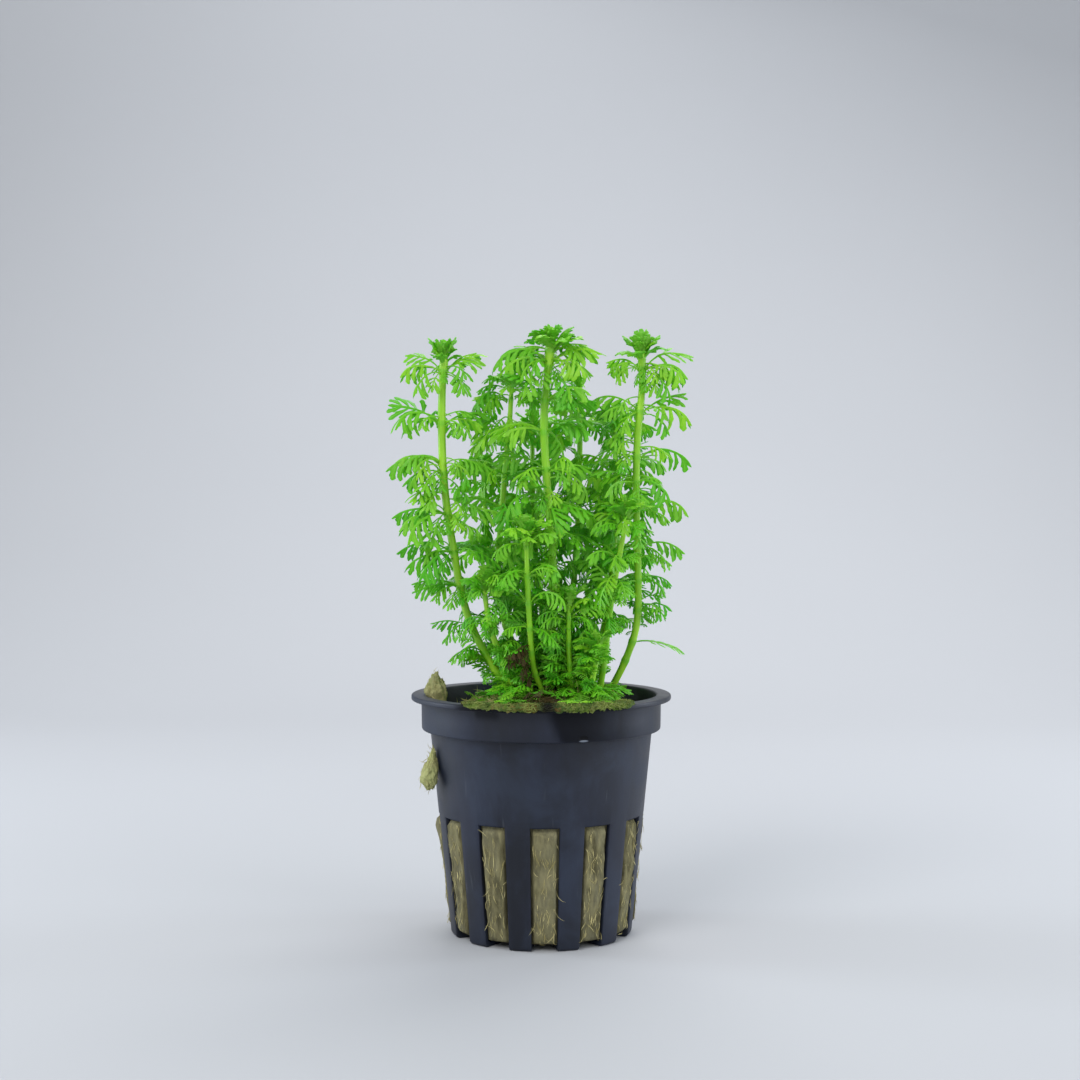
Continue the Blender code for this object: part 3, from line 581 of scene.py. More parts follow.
def plastic_look():
    k = Look("pot_plastic", 0.45)
    # Flow lines of the moulding, a dull film of dried water, and fine scratches
    flow = k.noise(90.0, 4.0, 0.6, coords=k.stretched(1.0, 1.0, 0.35))
    film = k.noise(60.0, 5.0, 0.62, distortion=0.6)
    grain = k.noise(5200.0, 2.0, 0.6)
    scratches = k.noise(700.0, 2.0, 0.7, coords=k.stretched(1.0, 1.0, 0.03))
    dark = k.mix(k.remap(flow, 0.35, 0.7), srgb(12, 17, 29), srgb(23, 30, 48))
    dull = k.mix(k.remap(film, 0.42, 0.72, 0.0, 0.6), dark, srgb(42, 52, 71))
    colour = k.mix(k.remap(scratches, 0.66, 0.78, 0.0, 0.2), dull, srgb(100, 104, 112))
    # Painted shade under the moss keeps the collar dark, to the right of the middle
    split = k.nodes.new("ShaderNodeSeparateXYZ")
    k.links.new(k.coords, split.inputs[0])
    x, y, z = split.outputs
    ragged = k.math("ADD", x, k.math("MULTIPLY", k.math("SUBTRACT", film, 0.5), 0.006))
    ragged = k.math("ADD", ragged, k.math("MULTIPLY", k.math("SUBTRACT", z, 0.0494), 0.35))
    dark_patches = k.math("MULTIPLY", k.remap(ragged, -0.0012, 0.0028), k.remap(ragged, 0.005, 0.024, 1.0, 0.0))
    dark_patches = k.math("MULTIPLY", dark_patches, k.remap(z, 0.0428, 0.0436))
    # and a painted shadow to the left of it, below the lip
    left = k.math("MULTIPLY", k.remap(ragged, -0.0150, -0.0132), k.remap(ragged, -0.0100, -0.0078, 1.0, 0.0))
    left = k.math("MULTIPLY", left, k.remap(z, 0.0464, 0.0486, 0.0, 0.62))
    # The lip's edge is painted dark as shadow where the moss hangs over it
    lip = k.math("MULTIPLY", k.remap(z, 0.0490, 0.0493), k.remap(y, -0.0225, -0.0205, 1.0, 0.0))
    dark_patches = k.math("MAXIMUM", k.math("MAXIMUM", dark_patches, left), k.math("MULTIPLY", lip, 0.9))
    dark_patches = k.math("MULTIPLY", dark_patches, k.remap(y, -0.006, 0.0, 1.0, 0.0))
    # The patches above are painted shade mixed into the plastic's colour
    colour = k.mix(k.math("MULTIPLY", dark_patches, 0.85), colour, srgb(7, 8, 12))
    # A nick in the collar's lower edge: a dent in the bump, with painted shade inside it
    dx = k.math("DIVIDE", k.math("SUBTRACT", x, 0.00845), 0.0009)
    dz = k.math("DIVIDE", k.math("SUBTRACT", z, 0.0441), 0.00042)
    gap = k.math("ADD", k.math("MULTIPLY", dx, dx), k.math("MULTIPLY", dz, dz))
    nick_and_shade = k.math("MULTIPLY", k.remap(gap, 0.5, 1.3, 1.0, 0.0), k.remap(y, -0.006, 0.0, 1.0, 0.0))
    # Painted shade inside the nick
    colour = k.mix(nick_and_shade, colour, srgb(3, 4, 8))
    # A painted highlight along the nick's lower rim
    below = k.math("DIVIDE", k.math("SUBTRACT", z, 0.04345), 0.00022)
    edge = k.math("ADD", k.math("MULTIPLY", dx, dx), k.math("MULTIPLY", below, below))
    edge = k.math("MULTIPLY", k.remap(edge, 0.4, 1.4, 1.0, 0.0), k.remap(y, -0.006, 0.0, 1.0, 0.0))
    colour = k.mix(k.math("MULTIPLY", edge, 0.7), colour, srgb(132, 140, 152))
    rough = k.math("ADD", k.remap(film, 0.3, 0.75, 0.4, 0.58), k.remap(grain, 0.3, 0.8, 0.0, 0.08))
    height = k.math("ADD", k.math("MULTIPLY", flow, 0.8), k.math("MULTIPLY", grain, 0.12))
    height = k.math("SUBTRACT", height, k.math("MULTIPLY", nick_and_shade, 1.5))
    k.put(k.shader.inputs["Specular IOR Level"], k.remap(dark_patches, 0.0, 1.0, 0.4, 0.14))
    return k.done(colour, rough, k.bump(height, 0.35, 0.12))


# -------------------------------------------------------------------- net pot
def wall_radius(z):
    return BASE_RADIUS + (BODY_TOP_RADIUS - BASE_RADIUS) * z / COLLAR_BOTTOM


def filleted(points, radii, steps=4):
    """A line of (radius, height) points with its corners rounded."""
    out = [points[0]]
    for (a, p, b), r in zip(zip(points, points[1:], points[2:]), radii):
        a, p, b = (np.array(x, float) for x in (a, p, b))
        if r <= 0:
            out.append(tuple(p))
            continue
        u, v = a - p, b - p
        lu, lv = np.linalg.norm(u), np.linalg.norm(v)
        u, v = u / lu, v / lv
        half = math.acos(np.clip(u @ v, -1, 1)) / 2
        back = min(r / math.tan(half), 0.48 * lu, 0.48 * lv)
        r = back * math.tan(half)
        centre = p + (u + v) / np.linalg.norm(u + v) * r / math.sin(half)
        start, end = p + u * back - centre, p + v * back - centre
        a0, a1 = math.atan2(start[1], start[0]), math.atan2(end[1], end[0])
        turn = (a1 - a0 + math.pi) % (2 * math.pi) - math.pi
        for i in range(steps + 1):
            at = a0 + turn * i / steps
            out.append(tuple(centre + r * np.array([math.cos(at), math.sin(at)])))
    out.append(points[-1])
    return out


def split_long(points, longest):
    out = [points[0]]
    for a, b in zip(points, points[1:]):
        n = max(1, math.ceil(math.dist(a, b) / longest))
        out += [(a[0] + (b[0] - a[0]) * i / n, a[1] + (b[1] - a[1]) * i / n) for i in range(1, n + 1)]
    return out


def build_pot(material):
    # Angles of one slot and one bar, in degrees from the slot's middle. Close lines by an edge carry its rounding.
    ease = [0.0, 0.08, 0.22, 0.56]
    slot = list(np.linspace(-SLOT_HALF, SLOT_HALF, 9))
    bar_end = 360.0 / SLOTS - SLOT_HALF
    bar = [SLOT_HALF + e for e in ease[1:]]
    bar += list(np.linspace(bar[-1], bar_end - ease[-1], 7))[1:]
    bar += [bar_end - e for e in reversed(ease[:-1])][:-1]
    period = slot + bar
    angles = np.radians(np.concatenate([SLOT_TURN + 360.0 / SLOTS * i + np.array(period)
                                        for i in range(SLOTS)]))
    n = len(angles)
    in_slot = np.tile([True] * 8 + [False] * (len(period) - 8), SLOTS)  # the strip after each line
    near = np.tile([min(abs(a + SLOT_HALF), abs(a - SLOT_HALF), abs(bar_end - a)) for a in period], SLOTS)
    within = np.tile([abs(a) <= SLOT_HALF + 1e-9 for a in period], SLOTS)

    z_above = [SLOT_TOP + e for e in (0.2, 0.08, 0.03)]
    r_disc = [BASE_DISC_RADIUS - e for e in (0.03, 0.08, 0.2)]
    lip_low = POT_HEIGHT - LIP_THICKNESS
    upper = filleted(
        [(LIP_RADIUS - 1.2, POT_HEIGHT), (LIP_RADIUS, POT_HEIGHT), (LIP_RADIUS, lip_low),
         (COLLAR_RADIUS, lip_low), (COLLAR_RADIUS - 0.1, COLLAR_BOTTOM),
         (BODY_TOP_RADIUS, COLLAR_BOTTOM), (wall_radius(SLOT_TOP + 0.2), SLOT_TOP + 0.2)],
        [0.35, 0.25, 0.4, 0.45, 0.4])
    upper = split_long(upper, 4.0)
    upper += [(wall_radius(z), z) for z in z_above[1:]]
    wall = [(wall_radius(SLOT_TOP), SLOT_TOP), (wall_radius(0.0), 0.0), (BASE_DISC_RADIUS, 0.0)]
    lower = split_long(filleted(wall, [0.9], 5), 4.5)
    # The inside of the slotted part has as many stations as its outside
    inner_wall = [(wall_radius(SLOT_TOP) - WALL, SLOT_TOP), (wall_radius(0.0) - WALL, WALL),
                  (BASE_DISC_RADIUS, WALL)]
    inner_line = split_long(filleted(inner_wall, [0.6], 5), 0.5)
    run = np.concatenate([[0], np.cumsum([math.dist(a, b) for a, b in zip(inner_line, inner_line[1:])])])
    outer_run = np.concatenate([[0], np.cumsum([math.dist(a, b) for a, b in zip(lower, lower[1:])])])
    share = outer_run / outer_run[-1] * run[-1]
    inner_lower = [(np.interp(s, run, [p[0] for p in inner_line]),
                    np.interp(s, run, [p[1] for p in inner_line])) for s in share]
    disc = [(r, 0.0) for r in r_disc] + [(7.0, 0.0), (3.0, 0.0)]
    inner_disc = [(r, WALL) for r in r_disc] + [(7.0, WALL), (3.0, WALL)]
    inner_upper = filleted(
        [(LIP_RADIUS - 1.2, POT_HEIGHT), (COLLAR_RADIUS - WALL, POT_HEIGHT),
         (COLLAR_RADIUS - WALL - 0.1, COLLAR_BOTTOM + WALL),
         (BODY_TOP_RADIUS - WALL, COLLAR_BOTTOM + WALL),
         (wall_radius(SLOT_TOP + 0.2) - WALL, SLOT_TOP + 0.2)], [0.4, 0.4, 0.5])
    inner_upper = split_long(inner_upper, 3.0)
    inner_upper += [(wall_radius(z) - WALL, z) for z in z_above[1:]]

    def sheet(above, slotted, below, axis_z, inside):
        """Rings of one side of the wall, and where the slotted stations begin and end among them."""
        line = above + slotted + below
        first, last = len(above), len(above) + len(slotted) - 1
        p = np.array(line)
        way = np.gradient(p, axis=0)
        way /= np.linalg.norm(way, axis=1, keepdims=True)
        normal = np.stack([-way[:, 1], way[:, 0]], 1)  # to the outside of the pot
        if not inside:
            normal = -normal
        # normal points into the plastic from the outer side, or from the inner side
        into = normal if not inside else normal
        rings = []
        for i, (r, z) in enumerate(line):
            side = near * math.radians(1) * r
            if first <= i <= last:
                away = side
            else:
                up = z - SLOT_TOP if i < first else BASE_DISC_RADIUS - r
                away = np.where(within, up, np.hypot(side, up))
            b = 0.2
            d = np.clip(away, 0, b)
            depth = b - np.sqrt(np.maximum(b * b - (b - d) ** 2, 0.0))
            rr = r + into[i, 0] * depth
            zz = z + into[i, 1] * depth
            rings.append(np.stack([rr * np.sin(angles), -rr * np.cos(angles), zz], 1))
        return np.concatenate(rings), len(line), first, last

    outer, count, first, last = sheet(upper, lower, disc, 0.0, False)
    inner, count_in, first_in, last_in = sheet(inner_upper, inner_lower, inner_disc, WALL, True)
    verts = [outer, inner, [[0, 0, 0.0]], [[0, 0, WALL]]]
    base = len(outer)
    under, floor = base + len(inner), base + len(inner) + 1
    tris = []

    def quad(a, b, c, d):
        tris.extend([(a, b, c), (a, c, d)])

    for rings, start, lo, hi in ((count, 0, first, last), (count_in, base, first_in, last_in)):
        for i in range(rings - 1):
            open_here = lo <= i < hi
            for j in range(n):
                if open_here and in_slot[j]:
                    continue
                k = (j + 1) % n
                quad(start + i * n + j, start + i * n + k, start + (i + 1) * n + k, start + (i + 1) * n + j)
    for j in range(n):
        k = (j + 1) % n
        tris.append((under, (count - 1) * n + j, (count - 1) * n + k))
        tris.append((floor, base + (count_in - 1) * n + j, base + (count_in - 1) * n + k))
        quad(j, k, base + k, base + j)  # along the top of the lip
        if in_slot[j]:  # the slot's two ends
            for i, ii in ((first, first_in), (last, last_in)):
                quad(i * n + j, i * n + k, base + ii * n + k, base + ii * n + j)
        if in_slot[j] != in_slot[j - 1]:  # its sides
            for i in range(last - first):
                a, b = first + i, first_in + i
                quad(a * n + j, (a + 1) * n + j, base + (b + 1) * n + j, base + b * n + j)
    verts = np.concatenate([np.asarray(v, float) for v in verts])
    ob = mesh_object("pot", verts, tris, material, 38.0)
    bm = bmesh.new()
    bm.from_mesh(ob.data)
    bmesh.ops.remove_doubles(bm, verts=bm.verts[:], dist=1e-6)
    bmesh.ops.recalc_face_normals(bm, faces=bm.faces[:])
    bm.to_mesh(ob.data)
    bm.free()
    ob.data.shade_smooth()
    ob.data.set_sharp_from_angle(angle=math.radians(38))
    return ob


# ------------------------------------------------------------------- rockwool
def at_front(turn):
    """1 where the rockwool reaches up to the rim at the front, 0 round the rest."""
    a = np.degrees((turn + math.pi) % (2 * math.pi) - math.pi)
    t = np.clip(np.minimum((a + 50.0) / 16.0, (64.0 - a) / 16.0), 0.0, 1.0)
    return t * t * (3 - 2 * t)


def wool_top(r, turn=0.0):
    mound = np.interp(r, [0.0, 9.0, 15.0, 18.6, 21.2, 22.0], [50.0, 49.8, 48.8, 46.6, 44.0, 42.2])
    full = np.interp(r, [0.0, 9.0, 15.0, 20.0, 21.3, 23.0], [50.0, 50.1, 50.5, 50.4, 50.0, 48.5])
    return mound + (full - mound) * at_front(np.asarray(turn))


def build_wool(material, fibres):
    rng = np.random.default_rng(41)
    lumps, rough, fine = noise_field(1, 9.0, 3), noise_field(2, 2.2, 3), noise_field(3, 0.9, 2)
    n = 384
    turn = 2 * math.pi * np.arange(n) / n
    from_slot = np.degrees(turn) - SLOT_TURN
    from_slot = np.abs((from_slot + 15.0) % 30.0 - 15.0)
    at_slot = np.clip((SLOT_HALF - 0.5 - from_slot) / 1.6, 0.0, 1.0)
    at_slot = at_slot * at_slot * (3 - 2 * at_slot)
    rings = []
    tops = []
    for r in np.concatenate([np.linspace(1.2, 18.6, 20), [19.6, 20.6, 21.3]]):
        wide = r * (1.0 + 0.09 * at_front(turn) * np.interp(r, [12.0, 21.3], [0.0, 1.0]))
        p = np.stack([wide * np.sin(turn), -wide * np.cos(turn), wool_top(r, turn)], 1)
        p[:, 2] += 0.55 * lumps(p) + 0.35 * rough(p) + 0.12 * fine(p) - 0.35
        rings.append(p)
        tops.append(np.ones(n))
    for z in np.concatenate([[43.4, 42.0, 40.0, 36.0, 32.0, 28.0, 26.0], np.linspace(25.4, 1.9, 34), [1.5]]):
        inside = wall_radius(z) - WALL - 0.25
        swell = np.interp(z, [1.2, 2.2, 24.1, 25.3], [0.0, 1.0, 1.0, 0.0])
        spill = 0.85 * np.exp(-(((np.degrees(turn) - 272.0) / 5.0) ** 2) - ((z - 21.8) / 2.4) ** 2)
        p = np.stack([inside * np.sin(turn), -inside * np.cos(turn), np.full(n, z)], 1)
        bulge = 1.15 + 0.25 * lumps(p * [1, 1, 0.4]) + 0.2 * rough(p * [1, 1, 0.35]) + 0.08 * fine(p)
        r = inside + at_slot * swell * (np.clip(bulge, 0.6, 1.55) + spill)
        rings.append(np.stack([r * np.sin(turn), -r * np.cos(turn), np.full(n, z)], 1))
        tops.append(np.full(n, float(z > 41.0)))
    for r in (15.0, 8.0):
        rings.append(np.stack([r * np.sin(turn), -r * np.cos(turn), np.full(n, 1.3)], 1))
        tops.append(np.zeros(n))
    verts = np.concatenate(rings + [[[0, 0, 49.7]], [[0, 0, 1.3]]])
    top = np.concatenate(tops + [[1.0, 0.0]])
    tris = []
    k = (np.arange(n) + 1) % n
    j = np.arange(n)
    for i in range(len(rings) - 1):
        a, b = i * n, (i + 1) * n
        tris.append(np.stack([a + j, b + j, b + k], 1))
        tris.append(np.stack([a + j, b + k, a + k], 1))
    first, last = len(rings) * n, len(rings) * n + 1
    tris.append(np.stack([np.full(n, first), j, k], 1))
    tris.append(np.stack([np.full(n, last), (len(rings) - 1) * n + k, (len(rings) - 1) * n + j], 1))
    body = mesh_object("rockwool_plug", verts, np.concatenate(tris), material, 60.0, {"top": top, "shade": hollow_shade(verts)})
    outwards(body)

    # Loose fibres on the top and in the slots
    lines, wide, crown = [], [], []
    for _ in range(1100):
        r = 20.0 * math.sqrt(rng.uniform(0.02, 1.0))
        a = rng.uniform(0, 2 * math.pi)
        start = np.array([r * math.sin(a), -r * math.cos(a), float(wool_top(r, a)) + 0.1])
        way = rng.normal(size=3) * [1, 1, 0.35]
        outer = r > 15.0
        lines.append(fibre(rng, start, way * [1, 1, 0.4 if outer else 1.0], rng.uniform(1.5, 2.8 if outer else 5.0), (0, 0, 0 if outer else 1)))
        wide.append(rng.uniform(0.04, 0.09))
        crown.append(1.0)
    for _ in range(700):
        i = rng.integers(SLOTS)
        z = rng.uniform(2.0, 24.0)
        a = math.radians(SLOT_TURN + 30.0 * i + rng.uniform(-6.5, 6.5))
        r = wall_radius(z) + 0.05
        out = np.array([math.sin(a), -math.cos(a), 0.0])
        side = np.array([math.cos(a), math.sin(a), 0.0])
        way = side * rng.normal() * 0.35 + np.array([0, 0, 1.0]) * rng.choice([-1, 1]) + out * rng.normal() * 0.1
        line = fibre(rng, out * r + [0, 0, z], way, rng.uniform(1.2, 3.6), out * 0.0)
        # Held to the slot: no further out than its surface, and between its sides
        radius = np.hypot(line[:, 0], line[:, 1])
        line[:, :2] *= (np.clip(radius, r - 0.2, r + 0.3) / radius)[:, None]
        line[:, 2] = np.clip(line[:, 2], 1.6, 24.6)
        lines.append(line)
        wide.append(rng.uniform(0.035, 0.08))
        crown.append(0.0)
    lines = np.array(lines)
    shape = np.array([0.0, 0.8, 1.0, 0.7, 0.0])
    verts, tris = tubes(lines, np.array(wide)[:, None] * shape, 3)
    top = np.repeat(crown, len(verts) // len(lines))
    strands = mesh_object("rockwool_fibres", verts, tris, fibres, 80.0, {"top": top})
    return body, strands


def hollow_shade(verts):
    """1 where the wool by the rim lies in a hollow, which is painted nearly black as its shade, a little to the right
    of the middle.
    """
    side = np.exp(-(np.abs((verts[:, 0] - 1.3) / 1.9) ** 3))
    return side * np.clip((-17.0 - verts[:, 1]) / 3.0, 0.0, 1.0) * np.clip((verts[:, 2] - 45.0) / 2.0, 0.0, 1.0)


def build_fringe(material, fibres):
    """Moss and torn wool that lie over the rim at the front and hang down to the lip's lower edge."""
    rng = np.random.default_rng(52)
    lumps, rough, fine = noise_field(61, 6.0, 3), noise_field(62, 1.5, 3), noise_field(63, 0.5, 2)
    first, last, n = -42.0, 50.0, 250
    deg = np.linspace(first, last, n)
    turn = np.radians(deg)
    # The lip's surface, from the wool inside over the top and down the outside, and the moss's surface above it
    on = np.array([(23.3, 49.5), (24.1, 50.1), (24.8, 50.5), (25.5, 50.52), (26.2, 50.52), (26.9, 50.52), (27.32, 50.42),
                   (27.5, 50.15), (27.52, 49.8), (27.52, 49.42)])
    over = np.array([(23.0, 50.0), (23.8, 50.8), (24.7, 51.05), (25.5, 51.1), (26.3, 51.1), (27.05, 51.0), (27.65, 50.72),
                     (27.95, 50.25), (28.0, 49.75), (27.8, 49.25)])
    around = np.stack([27.0 * np.sin(turn), -27.0 * np.cos(turn), 0 * turn], 1)
    ends = np.clip(np.minimum(deg - first, last - deg) / 8.0, 0.03, 1.0)
    hang = np.clip(0.56 + 0.2 * lumps(around) + 0.2 * rough(around) + 0.1 * fine(around), 0.2, 0.9) * np.clip(np.minimum(deg - first - 1.0, last - deg - 2.0) / 6.0, 0.0, 1.0)

    # Both ends narrow to a ragged point by the wool inside
    span = np.minimum((deg - first) / 12.0, (last - deg) / 10.0)
    span = np.clip(span + 0.1 * rough(around) + 0.05 * fine(around), 0.1, 1.0)

    def sheet(line):
        at = np.linspace(0.0, len(line) - 1.0, len(line))[None] * span[:, None]
        i = np.clip(at.astype(int), 0, len(line) - 2)
        line = line[i] + (at - i)[..., None] * (line[i + 1] - line[i])
        drop = np.maximum(50.42 - line[..., 1], 0.0) * (line[..., 0] > 27.0)
        line[..., 1] += drop * (1.0 - hang[:, None])
        points = np.stack([line[..., 0] * np.sin(turn)[:, None], -line[..., 0] * np.cos(turn)[:, None], line[..., 1]], 2)
        return points

    low, high = sheet(on), sheet(over)
    flat = high.reshape(-1, 3)
    thick = (0.92 + 0.34 * lumps(flat * 1.3) + 0.46 * rough(flat) + 0.26 * fine(flat)).reshape(n, -1)
    thick = np.clip(thick, 0.16, 1.25) * ends[:, None]
    high = low + (high - low) * thick[..., None]
    k = on.shape[0]
    loop = np.concatenate([high, low[:, ::-1]], 1)  # (n, 2k, 3)
    m = 2 * k
    j = np.arange(m)
    nxt = (j + 1) % m
    tris = []
    for i in range(n - 1):
        a, b = i * m, (i + 1) * m
        tris += [np.stack([a + j, b + j, b + nxt], 1), np.stack([a + j, b + nxt, a + nxt], 1)]
    for i in (0, n - 1):
        for c in range(k - 1):
            a, b = i * m + c, i * m + m - 1 - c
            tris.append(np.array([(a, a + 1, b - 1), (a, b - 1, b)]))
    body = (loop.reshape(-1, 3), np.concatenate(tris))

    # Strands and shreds of moss that lie on it in all directions
    lines, wide = [], []
    for _ in range(780):
        a, c = rng.uniform(4, n - 5), (k - 1) * rng.uniform(0.0, 1.0)
        phi, length, bend = rng.uniform(0, 6.28), rng.uniform(0.8, 3.0), rng.normal(0, 0.5)
        line = []
        for step in range(5):
            i, q = int(np.clip(a, 0, n - 1.01)), int(np.clip(c, 0, k - 1.01))
            u, v = np.clip(a - i, 0, 1), np.clip(c - q, 0, 1)
            base = ((1 - u) * (1 - v) * high[i, q] + u * (1 - v) * high[i + 1, q]
                    + (1 - u) * v * high[i, q + 1] + u * v * high[i + 1, q + 1])
            out = high[i, q] - low[i, q]
            out /= max(np.linalg.norm(out), 1e-6)
            line.append(base + out * (0.0 if step in (0, 4) else 0.1))
            a += math.cos(phi) * length / 4 / 0.175
            c += math.sin(phi) * length / 4 / 0.62
            phi += bend
        lines.append(line)
        wide.append(rng.uniform(0.05, 0.15))
    shape = np.array([0.0, 0.8, 1.0, 0.7, 0.0])
    hair = tubes(np.array(lines), np.array(wide)[:, None] * shape, 3)
    verts, tris = joined([body, hair])
    top = np.full(len(verts), 1.5)
    top[len(body[0]):] = 1.9
    ob = mesh_object("rim_moss", verts, tris, material, 60.0, {"top": top, "shade": hollow_shade(verts)})
    ob.data.materials.append(fibres)
    slots = np.zeros(len(tris), np.int32)
    slots[len(body[1]):] = 1
    ob.data.polygons.foreach_set("material_index", slots)
    return ob


def fibre(rng, start, way, length, lift):
    """Five points of a loose strand, which bends as it goes."""
    way = np.asarray(way, float)
    way /= np.linalg.norm(way)
    bend = rng.normal(size=3) * 0.35
    points = [np.asarray(start, float)]
    for _ in range(4):
        points.append(points[-1] + way * length / 4)
        way = way + bend / 2 + np.asarray(lift) * 0.12
        way /= np.linalg.norm(way)
    return np.array(points)


def build_lump(name, centre, radii, turn, seed, material, fibres, strands, profile, lean, pale):
    """A torn-off lump of rockwool: an uneven body with fibres that stand out of it. profile holds its width at heights from -1 to 1, and lean moves it sideways there, in mm."""
    bm = bmesh.new()
    bmesh.ops.create_icosphere(bm, subdivisions=5, radius=1.0)
    bm.verts.ensure_lookup_table()
    way = np.array([v.co[:] for v in bm.verts])
    faces = np.array([[v.index for v in f.verts] for f in bm.faces])
    bm.free()
    a = math.radians(turn)
    rot = np.array([[math.cos(a), -math.sin(a), 0], [math.sin(a), math.cos(a), 0], [0, 0, 1]])
    lumps, rough, fine = noise_field(seed, 1.3, 2), noise_field(seed + 1, 0.45, 3), noise_field(seed + 2, 0.16, 2)
    size = 0.84 + 0.1 * lumps(way) + 0.06 * rough(way) + 0.025 * fine(way)
    t = way[:, 2]
    flat = way[:, :2] / np.maximum(np.linalg.norm(way[:, :2], axis=1), 1e-6)[:, None]
    width = np.sqrt(np.maximum(1.0 - np.abs(t) ** 2.6, 0.0)) * np.interp(t, profile[0], profile[1])
    full = np.concatenate([flat * width[:, None], t[:, None]], 1)
    verts = (full * size[:, None] * radii) @ rot.T + centre
    verts[:, :2] += np.stack([np.interp(t, lean[0], lean[1]), np.interp(t, lean[0], lean[2])], 1)
    body = (verts, faces)
    rng = np.random.default_rng(seed + 7)
    lines, wide = [], []
    for _ in range(strands):
        v = verts[rng.integers(len(verts))]
        out = (v - centre) / np.array(radii) ** 2
        out /= np.linalg.norm(out)
        along = np.cross(out, rng.normal(size=3)) * [1, 1, 2.2]
        along /= np.linalg.norm(along)
        line = fibre(rng, v - out * 0.1, along + out * rng.uniform(-0.05, 0.12), rng.uniform(0.9, 2.4), out * -0.5)
        lines.append(line)
        wide.append(rng.uniform(0.03, 0.075))
    shape = np.array([0.0, 0.8, 1.0, 0.7, 0.0])
    hair = tubes(np.array(lines), np.array(wide)[:, None] * shape, 3)
    verts, tris = joined([body, hair])
    ob = mesh_object(name, verts, tris, material, 60.0, {"top": np.full(len(verts), 0.25), "pale": np.full(len(verts), pale)})
    ob.data.materials.append(fibres)
    slots = np.zeros(len(tris), np.int32)
    slots[len(faces):] = 1
    ob.data.polygons.foreach_set("material_index", slots)
    return ob


